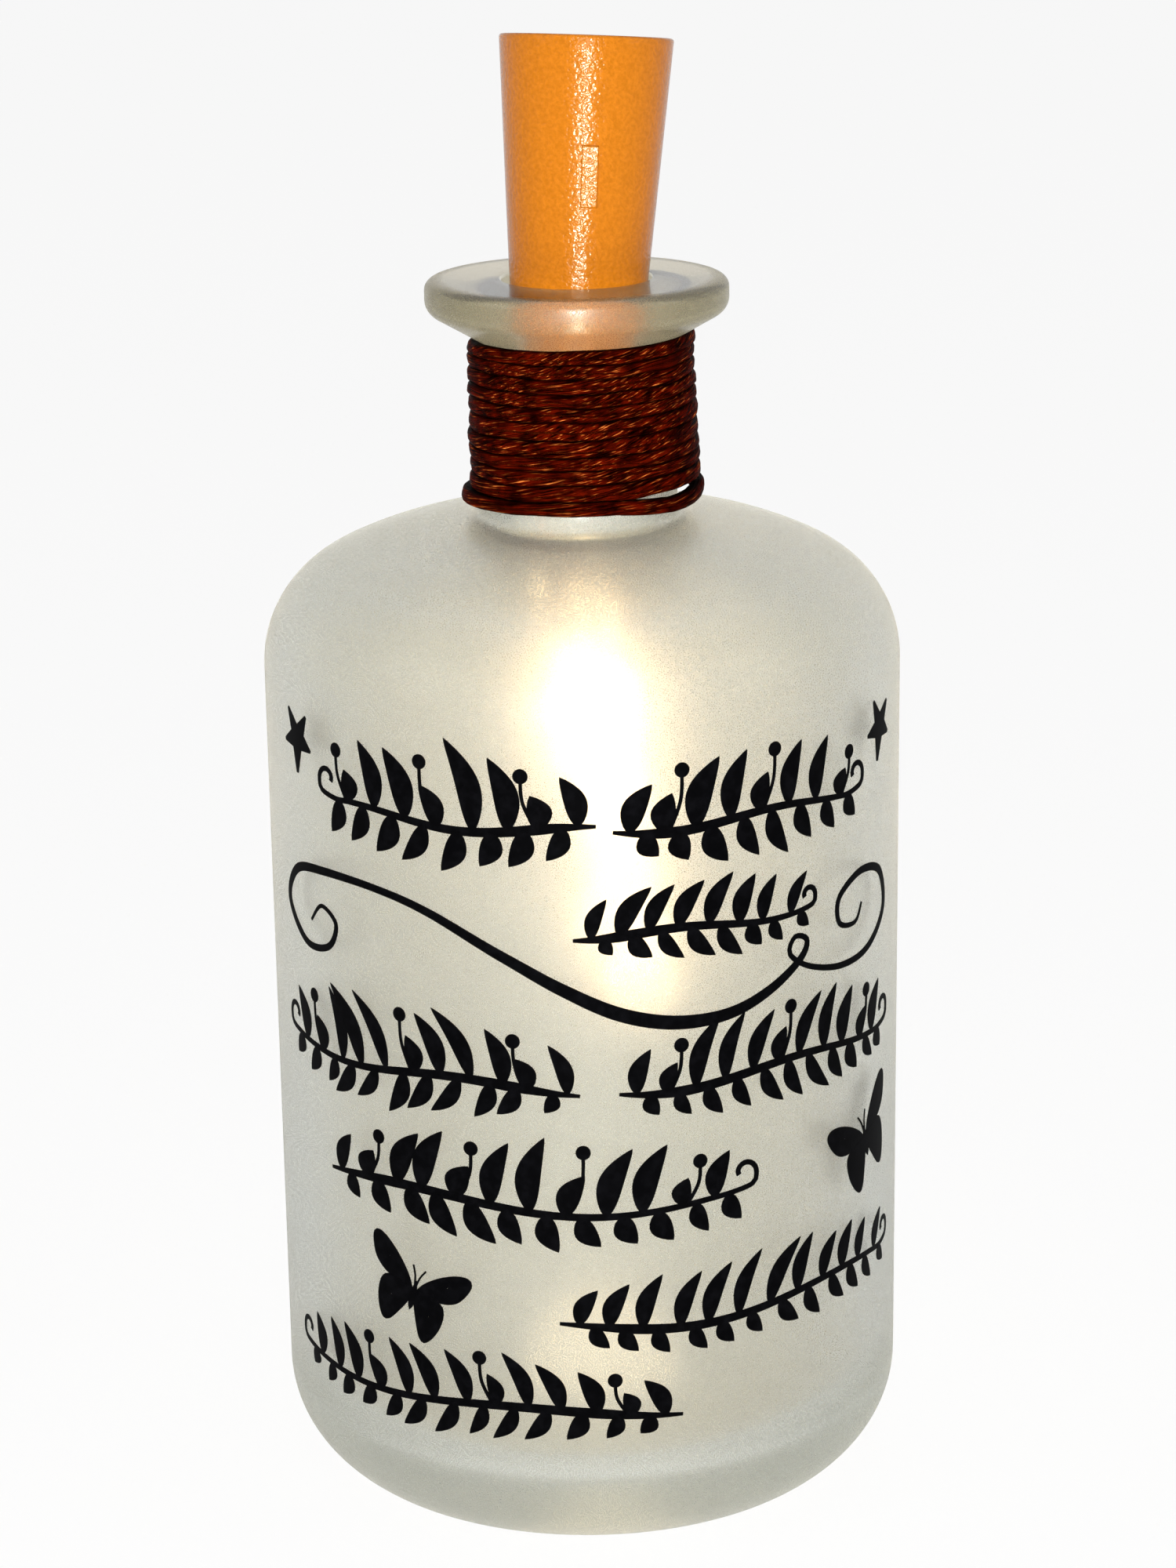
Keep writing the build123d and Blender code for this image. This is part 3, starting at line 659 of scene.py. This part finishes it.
def smooth_line(points, step, closed=False):
    """Points of a smooth line through the given ones, their further values blended along."""
    count = len(points)
    line = []
    spans = count if closed else count - 1
    for place in range(spans):
        if closed:
            four = [points[(place + shift) % count] for shift in (-1, 0, 1, 2)]
        else:
            four = [points[min(max(place + shift, 0), count - 1)] for shift in (-1, 0, 1, 2)]
        chord = sqrt((four[2][0] - four[1][0]) ** 2 + (four[2][1] - four[1][1]) ** 2)
        pieces = max(2, round(chord / step))
        for piece in range(pieces):
            t = piece / pieces
            line.append(tuple(
                0.5 * (2 * b + (c - a) * t + (2 * a - 5 * b + 4 * c - d) * t * t
                       + (3 * b - a - 3 * c + d) * t**3)
                for a, b, c, d in zip(*four)
            ))
    if not closed:
        line.append(tuple(points[-1]))
    return line


class Sheet:
    """Flat patches of film that are wrapped on the bottle's upright wall.

    Patches that cross lie at different heights, so their lifts go round in steps.
    """

    lifts, lift_share, film_share, hair = 5, 0.12, 1.6, 0.04

    def __init__(self, step):
        self.step = step / MM
        self.patches = []

    def stroke(self, points):
        """A brush stroke through (across, up, width) points."""
        line = smooth_line(points, self.step)
        rows = []
        for place, (across, up, width) in enumerate(line):
            before, after = line[max(place - 1, 0)], line[min(place + 1, len(line) - 1)]
            way = Vector((after[0] - before[0], after[1] - before[1]))
            way = way.normalized() if way.length else Vector((1, 0))
            side = Vector((-way.y, way.x)) * max(width, self.hair) / 2
            spot = Vector((across, up))
            rows.append([tuple(spot + side * share) for share in (-1, 0, 1)])
        self.patches.append(rows)

    def leaf(self, base, length, width, angle, bend):
        """A leaf, from its base along an angle in degrees, bent to one side."""
        belly, fullness, tip = 0.42, 0.8, 0.02
        way = Vector(polar((0, 0), 1, radians(angle)))
        side = Vector((-way.y, way.x))
        steps = max(8, round(length / self.step))
        power = log(0.5) / log(belly)
        rows = []
        for place in range(steps + 1):
            t = place / steps
            spread = width / 2 * sin(pi * t ** power) ** fullness if 0 < t < 1 else tip
            spot = Vector(base) + way * length * t + side * length * bend * sin(pi * t)
            rows.append([tuple(spot + side * spread * share) for share in (-1, -0.5, 0, 0.5, 1)])
        self.patches.append(rows)

    def outline(self, points, centre, rings=6, smooth=True):
        """A closed outline filled from a point inside it."""
        line = smooth_line(points, self.step, closed=True) if smooth else points
        line = line + line[:1]
        core = 0.02
        self.patches.append([[part_way(centre, spot, max(ring / rings, core)) for spot in line]
                             for ring in range(rings + 1)])

    def wrapped(self, name, radius, film):
        """All patches as one thin film on the bottle."""
        points, faces = [], []
        for number, rows in enumerate(self.patches):
            lift = film * (1 + self.lift_share * (number % self.lifts))
            first, width = len(points), len(rows[0])
            for row in rows:
                for across, up in row:
                    angle = across * MM / radius
                    reach = radius + lift
                    points.append((reach * sin(angle), -reach * cos(angle), up * MM))
            for place in range(len(rows) - 1):
                for step in range(width - 1):
                    low = first + place * width + step
                    faces.append((low, low + 1, low + width + 1, low + width))
        mesh = bpy.data.meshes.new(name)
        mesh.from_pydata(points, [], faces)
        shell = bmesh.new()
        shell.from_mesh(mesh)
        for face in shell.faces:
            middle = face.calc_center_median()
            if face.normal.dot(Vector((middle.x, middle.y, 0))) < 0:
                face.normal_flip()
        bmesh.ops.solidify(shell, geom=shell.faces[:], thickness=film * self.film_share)
        shell.to_mesh(mesh)
        shell.free()
        mesh.polygons.foreach_set("use_smooth", [False] * len(mesh.polygons))
        return add_object(name, mesh)


def sprig(sheet, chance, start, end, foot, head, pairs, width, tilt, sway, berries, curl):
    """A leafy sprig, drawn with a full brush: a stem with a curled tip, leaves in pairs, berries.

    It runs across from start to end and up from foot to head. Each leaf has a width and leans by
    tilt degrees. One pair in so many carries a berry, and none where berries is 0.
    """
    stem_height, waves, stem_steps = 0.36, 2.3, 16
    curl_turn, curl_steps, hair, leaf_bend, berry_radius = 0.62, 8, 0.45, 0.10, 0.95
    way = 1 if end > start else -1
    length = abs(end - start) - curl * 1.6
    middle = foot + (head - foot) * stem_height

    def stem(t):
        return (start + way * length * t, middle + sway * sin(waves * pi * t + start))

    def turned(angle):
        return angle if way > 0 else 180 - angle

    line = [(*stem(step / stem_steps), (1.5 - 0.8 * step / stem_steps) * min(1, 0.3 + step / 4))
            for step in range(stem_steps + 1)]
    tip = Vector(stem(1))
    for step in range(1, curl_steps + 1):
        angle, reach = -pi / 2 + curl_turn * step, curl * (1 - 0.085 * step)
        line.append((tip.x + way * (curl * 0.75 + reach * cos(angle)),
                     tip.y + curl + reach * sin(angle), 0.7))
    sheet.stroke(line)
    for pair in range(pairs):
        t = (pair + 0.45 + chance.uniform(-0.1, 0.1)) / pairs
        spot = stem(t)
        fade = 1 - 0.45 * abs(2 * t - 1) ** 2.2
        berry = berries and pair % berries == 1
        tall = (head - spot[1]) * fade * chance.uniform(0.84, 1.04)
        low = (spot[1] - foot) * fade * chance.uniform(0.8, 1.0)
        lean = tilt + chance.uniform(-8, 8)
        broad = width * (0.75 + 0.25 * fade) * chance.uniform(0.86, 1.12)
        upper = tall * (0.55 if berry else 1) / sin(radians(lean))
        sheet.leaf(spot, upper, broad, turned(lean), leaf_bend * way)
        after = stem(min(1, t + 0.40 / pairs))
        lower = low / sin(radians(lean - 8))
        sheet.leaf(after, lower, broad * 0.92, turned(8 - lean), -leaf_bend * way)
        if berry:
            step = way * length / pairs * 0.5
            top = (spot[0] + step * 1.1, min(head - 1.2, spot[1] + tall * 0.86))
            sheet.stroke([(spot[0] + step * 0.3, spot[1], 0.5),
                          (spot[0] + step, (spot[1] + top[1]) / 2, hair), (*top, hair)])
            sheet.outline([polar(top, berry_radius, tau * k / 10) for k in range(10)], top, 3)


def star(sheet, centre, radius, tilt):
    """A hand-cut star with five uneven, blunt points, its first one the longest."""
    points = []
    for corner in range(10):
        outer = corner % 2 == 0
        reach = radius * (1.0 if outer else 0.46) * (1 + 0.07 * sin(corner * 2.3))
        reach *= 1.2 if corner == 0 else 1
        for side in (-3, 3) if outer else (0,):
            points.append(polar(centre, reach, radians(tilt + 36 * corner + side)))
    line = []
    for point, after in zip(points, points[1:] + points[:1]):
        line += [point] + run(point, after, 4)
    sheet.outline(line, centre, 5, smooth=False)


UPPER_WING = ((0.03, 0.02), (0.16, 0.26), (0.42, 0.52), (0.70, 0.70), (0.92, 0.75), (1.02, 0.66),
              (0.99, 0.46), (0.86, 0.22), (0.64, 0.08), (0.34, 0.02), (0.10, -0.04))
LOWER_WING = ((0.02, 0.04), (0.28, 0.06), (0.56, 0.04), (0.67, -0.12), (0.67, -0.40), (0.58, -0.68),
              (0.45, -0.84), (0.32, -0.78), (0.18, -0.52), (0.05, -0.20))


def butterfly(sheet, centre, span, tilt, squeeze):
    """A butterfly seen from above: two pairs of wings, a slim body and two feelers."""
    turned = Matrix.Rotation(radians(tilt), 2)

    def put(point, side=1):
        spot = turned @ Vector((point[0] * side * (squeeze if side < 0 else 1), point[1]))
        return (centre[0] + spot.x * span / 2, centre[1] + spot.y * span / 2)

    for side in (-1, 1):
        sheet.outline([put(point, side) for point in UPPER_WING], put((0.60, 0.40), side), 6)
        sheet.outline([put(point, side) for point in LOWER_WING], put((0.40, -0.30), side), 6)
        feeler = [(0.015, 0.12), (0.05, 0.32), (0.13, 0.50)]
        sheet.stroke([(*put(point, side), 0.24) for point in feeler])
    low, high = Vector(put((0, -0.38))), Vector(put((0, 0.24)))
    way = high - low
    sheet.leaf(low, way.length, span * 0.07, atan2(way.y, way.x) * 180 / pi, 0.0)


SCROLL = (
    (-41.0, 81.2, 0.38), (-38.4, 83.7, 0.56), (-35.4, 82.0, 0.75), (-37.2, 78.6, 0.90),
    (-42.6, 78.0, 1.00), (-47.4, 82.4, 1.12), (-44.6, 87.0, 1.19), (-38.0, 88.4, 1.12),
    (-28.5, 88.4, 1.00), (-20.0, 86.6, 1.12), (-10.4, 82.0, 1.38), (-3.0, 78.0, 1.62),
    (4.0, 74.7, 1.81), (11.0, 73.1, 1.81), (18.0, 73.3, 1.56), (24.0, 75.3, 1.31),
    (28.9, 78.3, 1.06), (29.9, 80.5, 0.81), (27.9, 81.3, 0.69), (27.1, 79.2, 0.69),
    (30.6, 76.8, 0.75), (37.0, 75.3, 0.88), (43.6, 76.0, 1.00), (48.4, 79.8, 1.12),
    (46.8, 85.0, 1.12), (41.2, 86.6, 1.00), (36.2, 84.5, 0.88), (36.2, 81.0, 0.75),
    (39.8, 80.2, 0.60), (41.4, 82.4, 0.38),
)


def print_ink(ink):
    """Black printed film with a soft sheen and small wear."""
    finish = Finish("print_ink", Specular_IOR_Level=0.008)
    wear = finish.noise(700, 4, 0.6)
    black, rubbed = tuple(ink.ink_colour), scaled(ink.ink_colour, 3.2)
    finish.join("Base Color", finish.ramp(wear, (0.45, black), (0.85, rubbed)))
    finish.join("Roughness", finish.span(wear, 0.34, 0.52))
    finish.bump(finish.noise(2600, 2), 0.00001, 0.3)
    return finish.material


# Sprigs of each piece: start, end, foot, head, pairs, leaf width, tilt, sway, berries, curl
SPRIGS = {
    "print_sprig_top": (
        (1.4, -38.0, 92.2, 108.8, 8, 3.1, 70, 0.6, 3, 2.2),
        (3.4, 41.5, 92.4, 108.2, 8, 3.1, 70, 0.6, 3, 2.2),
    ),
    "print_sprig_short": ((-1.6, 31.5, 80.8, 92.0, 8, 2.4, 62, 0.5, 0, 1.7),),
    "print_sprig_long": (
        (-1.0, -48.5, 59.4, 74.6, 11, 2.6, 66, 0.8, 4, 2.2),
        (3.8, 50.0, 59.6, 74.0, 11, 2.6, 66, 0.8, 4, 2.2),
    ),
    "print_sprig_middle": ((-38.0, 22.0, 43.4, 59.0, 12, 3.1, 71, 0.9, 3, 2.3),),
    "print_sprig_right": ((-4.0, 51.0, 28.8, 41.0, 12, 2.5, 62, 0.8, 0, 2.0),),
    "print_sprig_left": ((11.5, -48.0, 16.6, 29.4, 13, 2.5, 67, 0.8, 4, 2.1),),
}


class BOTTLELIGHT_OT_print(bpy.types.Operator):
    """Print stars, a scroll, sprigs and butterflies on the glass"""

    bl_idname = "bottlelight.print"
    bl_label = "Printed ornaments"

    def execute(self, context):
        ink, glass = context.scene.bottle_print, context.scene.bottle_glass
        finish = print_ink(ink)
        chance = Random(11)

        def printed(name, draw, *rows):
            """One piece of film with a shape drawn for each row of values."""
            sheet = Sheet(ink.step)
            for values in rows:
                draw(sheet, *values)
            film = sheet.wrapped(name, glass.body_radius, ink.film)
            finish_piece(film, finish, "bottle", "frosted_glass")

        printed("print_stars", star, ((-43.2, 104.6), 3.9, 268), ((46.4, 104.2), 3.8, 262))
        printed("print_scroll", Sheet.stroke, (SCROLL,))
        printed("print_butterflies", butterfly,
                ((-23.7, 35.5), 14.5, -17, 1.08), ((42.9, 50.0), 15.4, 17, 1.0))
        for name, rows in SPRIGS.items():
            printed(name, sprig, *((chance, *row) for row in rows))
        return {"FINISHED"}


# String of lights: places in millimetres


BUNDLE_TOPS = (119.0, 121.0, 115.6, 119.2, 116.2)
BUNDLE_BOTTOMS = (62.0, 65.6, 63.2, 67.4, 62.6, 65.0)

# A fold from one run to the next: runs round the bundle, height before the fold, radius
FOLD = ((0, 4.1, 5.2), (-0.3, 0.9, 5.2), (0.5, -0.6, 5.0), (1.3, 0.9, 5.2), (1, 4.1, 5.2))

# Shares of a drop's radius and length, from its lower end up
DROP_PROFILE = (
    (0.22, -0.5), (0.42, -0.47), (0.72, -0.38), (0.92, -0.24), (1.0, -0.08),
    (1.0, 0.08), (0.92, 0.24), (0.72, 0.38), (0.42, 0.47), (0.22, 0.5),
)

# Lamps that give the string's light: across, back, height, share of the light, radius
GLOW = (
    (0.8, 0, 118.0, 0.10, 3.0), (0.9, 0, 110.0, 0.35, 5.0), (1.2, 0, 104.0, 1.5, 5.0),
    (2.0, 0, 98.5, 0.9, 5.0), (3.9, 0, 92.5, 0.55, 4.6), (4.6, 0, 86.0, 0.5, 4.6),
    (5.4, 0, 79.0, 0.5, 4.6), (6.4, 0, 71.5, 0.45, 4.6), (7.4, 0, 64.5, 0.35, 4.6),
    (1.0, -7, 12.5, 0.50, 10.5),
)


def bundle_route():
    """Control points of the string in metres: out of the bush, then up and down its bundle."""
    rows = [
        (-0.566, -1.840, 140.035), (-0.753, -2.285, 136.065),
        (-5.875, 1.346, 127.50), (-5.414, 1.346, 117.00),
    ]
    exit_across, top, lean, overrun = -0.566, 121.0, 0.118, 0.2
    first_angle, run_angle, last_radius, last_height = 165, 30, 5.2, 120.9
    folds = len(BUNDLE_TOPS) + len(BUNDLE_BOTTOMS)
    for fold in range(folds):
        inwards, ends = (1, BUNDLE_BOTTOMS) if fold % 2 == 0 else (-1, BUNDLE_TOPS)
        end = ends[fold // 2] - inwards * overrun
        for turns, before, radius in FOLD:
            angle = radians(first_angle + run_angle * (fold + turns))
            height = end + inwards * before
            drift = (top - height) * lean + exit_across
            rows.append((radius * cos(angle) + drift, radius * sin(angle), height))
    angle = radians(first_angle + run_angle * folds)
    rows.append((last_radius * cos(angle) + exit_across, last_radius * sin(angle), last_height))
    return [Vector(row) * MM for row in rows]


def varnished_wire():
    """Varnished copper wire."""
    return plain_finish("varnished_wire", (0.62, 0.30, 0.13), 0.32, 0.0004, 1.0)


def lit_resin(lights):
    """Clear resin over a warm light."""
    finish = Finish("lit_resin", Roughness=0.12, IOR=1.5, Emission_Strength=lights.bead_glow,
                    Emission_Color=(*lights.glow_colour, 1))
    drop = finish.noise(900, 2)
    finish.join("Base Color", finish.ramp(drop, (0.3, (1.0, 0.80, 0.50)), (0.7, (1.0, 0.90, 0.70))))
    return finish.material


def along_path(path, start, spacing, count):
    """Spots and directions at even lengths along a path of points."""
    spots, wanted, gone = [], [start + spacing * number for number in range(count)], 0
    for here, after in zip(path, path[1:]):
        reach = (after - here).length
        while wanted and gone + reach >= wanted[0]:
            spot = here.lerp(after, (wanted.pop(0) - gone) / reach)
            spots.append((spot, (after - here).normalized()))
        gone += reach
    return spots


def resin_drops(lights, path):
    """Drops of resin along the wire, as one piece."""
    rings, facets, points, faces = len(DROP_PROFILE), 16, [], []
    for spot, way in along_path(path, lights.bead_start, lights.bead_spacing, lights.bead_count):
        turned = way.to_track_quat("Z", "X").to_matrix()
        faces += ring_faces(rings, facets, len(points)) + end_faces(rings, facets, len(points))
        for width, height in DROP_PROFILE:
            for step in range(facets):
                across = polar((0, 0), width * lights.bead_radius, tau * step / facets)
                points.append(spot + turned @ Vector((*across, height * lights.bead_length)))
    return mesh_object("light_drops", points, faces)


def glow_lamps(lights):
    """Place the lamps that give the string's light, riding on the stopper."""
    total = sum(part for _, _, _, part, _ in GLOW)
    for number, (across, back, height, part, radius) in enumerate(GLOW):
        lamp = bpy.data.lights.new(f"string_glow_{number}", "POINT")
        lamp.energy = lights.lamp_power * part / total
        lamp.color = lights.glow_colour
        lamp.shadow_soft_size = radius * MM
        holder = add_object(lamp.name, lamp)
        holder.location = (across * MM, back * MM, height * MM)
        holder.visible_camera = False
        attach(holder, "stopper")


class BOTTLELIGHT_OT_lights(bpy.types.Operator):
    """Hang the string of lights in its bundle, with its drops and its glow"""

    bl_idname = "bottlelight.lights"
    bl_label = "String of lights"

    def execute(self, context):
        lights = context.scene.light_string
        route = bundle_route()
        line = bpy.data.curves.new("string_wire", "CURVE")
        line.dimensions = "3D"
        spline = line.splines.new("NURBS")
        spline.points.add(len(route) - 1)
        for point, spot in zip(spline.points, route):
            point.co = (*spot, 1)
        spline.order_u = 3
        spline.use_endpoint_u = True
        line.resolution_u = 12
        wire = add_object("string_wire", line)
        bare = bpy.data.meshes.new_from_object(wire)
        path = [vertex.co.copy() for vertex in bare.vertices]
        bpy.data.meshes.remove(bare)
        line.bevel_depth = lights.wire_diameter / 2
        line.bevel_resolution = 3
        line.use_fill_caps = True
        finish_piece(wire, varnished_wire(), "stopper", "wire_copper", "led_wire")
        drops = resin_drops(lights, path)
        finish_piece(drops, lit_resin(lights), "stopper", "light_resin", "led_beads")
        glow_lamps(lights)
        return {"FINISHED"}


# Stopper and what it holds


def cork_plastic(stopper):
    """Moulded cork-coloured plastic with a fine, sparkling grain."""
    finish = Finish(
        "cork_plastic", IOR=1.5, Specular_IOR_Level=0.22, Specular_Tint=(1.0, 0.88, 0.68, 1))
    dark = scaled(stopper.cork_colour, 0.88)
    light = tuple(min(1, channel * 1.12 + 0.004) for channel in stopper.cork_colour)
    mottle = finish.noise(1 / stopper.grain, 3, 0.6)
    finish.join("Base Color", finish.ramp(mottle, (0.34, dark), (0.68, light)))
    finish.join("Roughness", finish.span(mottle, 0.20, 0.14))
    finish.bump(finish.noise(1 / stopper.grain, 1), 0.00009, 1.0)
    return finish.material


def stopper_frame(stopper, brim):
    """The stopper's own space: x to the right, z along its axis, origin in its lower end."""
    right, back = (sin(angle) / cos(angle) for angle in (stopper.lean_right, stopper.lean_back))
    axis = Vector((right, back, 1)).normalized()
    across = Vector((axis.z, 0, -axis.x)).normalized()
    behind = axis.cross(across)
    origin = Vector((stopper.shift_right, stopper.shift_back, brim)) - axis * stopper.insertion
    return Matrix((
        (across.x, behind.x, axis.x, origin.x),
        (across.y, behind.y, axis.y, origin.y),
        (across.z, behind.z, axis.z, origin.z),
        (0, 0, 0, 1),
    ))


def stopper_profile(stopper):
    """Closed half section of the moulded stopper: outside, recess, bore, chamber and hole."""
    edge, quarter = stopper.edge, pi / 2
    low, high = stopper.bottom_radius, stopper.top_radius
    profile = run((stopper.hole_radius, 0), (low - edge, 0), 4)
    profile += arc((low - edge, edge), edge, -quarter, 0, 4)
    profile += run((low, edge), (high, stopper.length - edge), 30)
    profile += arc((high - edge, stopper.length - edge), edge, 0, quarter, 4)
    corners, rounding = [(high - edge, stopper.length)], 0.0001
    for radius, above, below in (
        (stopper.recess_radius, stopper.length, stopper.cap_height),
        (stopper.bore_radius, stopper.cap_height, stopper.board_height),
        (stopper.chamber_radius, stopper.board_height, stopper.floor),
        (stopper.hole_radius, stopper.floor, 0),
    ):
        corners += [(radius, above), (radius, below)]
    for start, end in zip(corners, corners[1:]):
        reach = sqrt((end[0] - start[0]) ** 2 + (end[1] - start[1]) ** 2)
        near = min(0.3, rounding / reach)
        profile += [part_way(start, end, share) for share in (near, 1 - near, 1)]
    return profile + profile[:1]


def raised_bar(stopper):
    """The plain bar moulded on the stopper's front, with rounded edges."""
    taper = (stopper.top_radius - stopper.bottom_radius) / stopper.length
    root, across = stopper.bottom_radius + taper * stopper.bar_height, stopper.bar_offset
    middle = Vector((across, -sqrt(root**2 - across**2), stopper.bar_height))
    out = Vector((0, -1, -taper)).normalized()
    up = Vector((0, -taper, 1)).normalized()
    rise, points = stopper.bar_raise, []
    rings = ((0, -rise), (0, rise * 0.5), (0.00005, rise * 0.8), (0.00015, rise), (0.00030, rise))
    for inset, height in rings:
        half, tall = stopper.bar_width / 2 - inset, stopper.bar_length / 2 - inset
        for side, end in ((-1, -1), (1, -1), (1, 1), (-1, 1)):
            points.append(middle + Vector((side * half, 0, 0)) + up * end * tall + out * height)
    return points, ring_faces(len(rings), 4) + end_faces(len(rings), 4)


class BOTTLELIGHT_OT_stopper(bpy.types.Operator):
    """Finish the stopper, its carrier, the cells and the switch"""

    bl_idname = "bottlelight.stopper"
    bl_label = "Stopper and carrier"

    def execute(self, context):
        stopper = context.scene.cork_stopper
        cork = cork_plastic(stopper)
        place = stopper_frame(stopper, context.scene.bottle_glass.lip_height)
        shell = lathe("moulded_stopper", stopper_profile(stopper), stopper.facets)
        shell.data.transform(place)
        finish_piece(shell, cork, "stopper", "cork_plastic", "stopper_shell")
        bar = mesh_object("moulded_bar", *raised_bar(stopper), smooth=False)
        bar.data.transform(place)
        finish_piece(bar, cork, "stopper", "cork_plastic")
        finishes = (
            (cork, "carrier_cap"),
            (plain_finish("moulded_black", (0.022, 0.022, 0.024), 0.48, 0.00035, relief=0.00004),
             "battery_cage"),
            (plain_finish("knob_black", (0.015, 0.015, 0.016), 0.38, 0.0003), "switch_slider"),
            (plain_finish("switch_tin", (0.62, 0.63, 0.63), 0.34, 0.0003, 1.0), "switch_case"),
            (plain_finish("bush_rubber", (0.03, 0.03, 0.03), 0.62, 0.0004), "outlet_bush"),
            (varnished_wire(), "inner_lead"),
            (plain_finish("board_green", (0.02, 0.16, 0.06), 0.36, 0.0005), "circuit_board"),
            (plain_finish("solder", (0.70, 0.71, 0.72), 0.22, 0.0004, 1.0), "solder_joint"),
            (plain_finish("resistor_black", (0.02, 0.02, 0.022), 0.42, 0.0003), "board_resistor"),
            (plain_finish("contact_brass", (0.78, 0.56, 0.24), 0.28, 0.0003, 1.0),
             "switch_terminals", "cell_leaf", "return_leaf", "upper_contact", "side_strip"),
            (plain_finish("cell_steel", (0.72, 0.73, 0.74), 0.24, 0.0002, 1.0),
             "cell_lower", "cell_middle", "cell_upper"),
        )
        for material, *nodes in finishes:
            for node in nodes:
                dress(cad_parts[node], material)
        return {"FINISHED"}


# Stage: lamps by name, place, aim, side and power in watts


BOTTLE_MIDDLE = (0, 0, 0.1)
LAMPS = (
    ("front_lamp", (0.0, -0.70, 0.30), BOTTLE_MIDDLE, 0.30, 1.8),
    ("glint_lamp", (0.0, -0.60, 0.155), (0, 0, 0.15), 0.02, 3.3),
    ("left_lamp", (-0.7, -0.35, 0.55), BOTTLE_MIDDLE, 0.5, 1.0),
    ("right_lamp", (0.75, -0.25, 0.5), BOTTLE_MIDDLE, 0.5, 0.85),
    ("top_lamp", (0.0, 0.1, 0.95), BOTTLE_MIDDLE, 0.6, 1.2),
)


def studio_lamp(name, spot, aim, side, power):
    """A square studio lamp at a spot, turned to an aim."""
    lamp = bpy.data.lights.new(name, "AREA")
    lamp.size = side
    lamp.energy = power
    holder = add_object(name, lamp)
    holder.location = spot
    holder.rotation_mode = "QUATERNION"
    holder.rotation_quaternion = (Vector(aim) - Vector(spot)).to_track_quat("-Z", "Y")


def seen_directly(tree):
    """A factor of 1 for camera, glossy and transmitted rays."""
    rays = add_node(tree, "LightPath").outputs
    factor = rays["Is Camera Ray"]
    for ray in ("Is Glossy Ray", "Is Transmission Ray"):
        either = add_node(tree, "Math", {"operation": "MAXIMUM"})
        feed(either.inputs[0], factor)
        feed(either.inputs[1], rays[ray])
        factor = either.outputs[0]
    return factor


class BOTTLELIGHT_OT_stage(bpy.types.Operator):
    """Set the camera, the lamps, the floor and the background"""

    bl_idname = "bottlelight.stage"
    bl_label = "Stage"

    def execute(self, context):
        stage, scene = context.scene.bottle_stage, context.scene
        camera = bpy.data.cameras.new("camera")
        camera.sensor_width = 36
        camera.lens = stage.lens
        camera.clip_start = 0.01
        eye = add_object("camera", camera)
        eye.matrix_world = (
            Matrix.Translation((stage.camera_x, stage.camera_y, stage.camera_z))
            @ Matrix.Rotation(pi / 2 - stage.camera_pitch, 4, "X")
            @ Matrix.Rotation(stage.camera_roll, 4, "Z")
        )
        scene.camera = eye

        half = stage.floor_size / 2
        corners = [(-half, -half, 0), (half, -half, 0), (half, half, 0), (-half, half, 0)]
        floor = mesh_object("floor", corners, [(0, 1, 2, 3)], smooth=False)
        finish = Finish("plain_floor", Roughness=0.9, Base_Color=(*stage.floor_colour, 1))
        white = finish.node("Emission", Color=WHITE, Strength=1.0)
        seen = finish.product(seen_directly(finish.tree), stage.floor_white)
        feed(finish.out["Surface"], blend_shaders(finish.tree, seen, finish.shader, white))
        dress(floor, finish.material)

        world = bpy.data.worlds.new("studio")
        scene.world = world
        world.use_nodes = True
        tree = world.node_tree
        tree.nodes.clear()
        even = add_node(tree, "Background", Color=WHITE, Strength=stage.ambient)
        plain = add_node(tree, "Background", Color=WHITE, Strength=1.0)
        surface = blend_shaders(tree, seen_directly(tree), even, plain)
        feed(add_node(tree, "OutputWorld").inputs["Surface"], surface)

        for lamp in LAMPS:
            studio_lamp(*lamp)
        scene.view_settings.view_transform = "Standard"
        return {"FINISHED"}


class BOTTLELIGHT_PT_pieces(bpy.types.Panel):
    """The pieces of the cork bottle light"""

    bl_idname = "BOTTLELIGHT_PT_pieces"
    bl_label = "Cork bottle light"
    bl_space_type = "VIEW_3D"
    bl_region_type = "UI"
    bl_category = "Bottle light"

    def draw(self, context):
        for operator, group in STEPS:
            box = self.layout.box()
            box.operator(operator.bl_idname)
            settings = getattr(context.scene, group)
            for name in settings.bl_rna.properties.keys():
                if name not in ("rna_type", "name"):
                    box.prop(settings, name)


STEPS = (
    (BOTTLELIGHT_OT_stage, "bottle_stage"),
    (BOTTLELIGHT_OT_lights, "light_string"),
    (BOTTLELIGHT_OT_glass, "bottle_glass"),
    (BOTTLELIGHT_OT_neck_cord, "neck_cord"),
    (BOTTLELIGHT_OT_print, "bottle_print"),
    (BOTTLELIGHT_OT_stopper, "cork_stopper"),
)
CLASSES = (*GROUPS.values(), *(operator for operator, _ in STEPS), BOTTLELIGHT_PT_pieces)


def register():
    for group in CLASSES:
        bpy.utils.register_class(group)
    for name, group in GROUPS.items():
        setattr(bpy.types.Scene, name, PointerProperty(type=group))


def unregister():
    for name in GROUPS:
        delattr(bpy.types.Scene, name)
    for group in reversed(CLASSES):
        bpy.utils.unregister_class(group)


def main():
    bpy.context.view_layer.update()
    register()
    for operator, _ in STEPS:
        getattr(bpy.ops.bottlelight, operator.bl_idname.split(".")[1])()


if __name__ == "__main__":
    main()
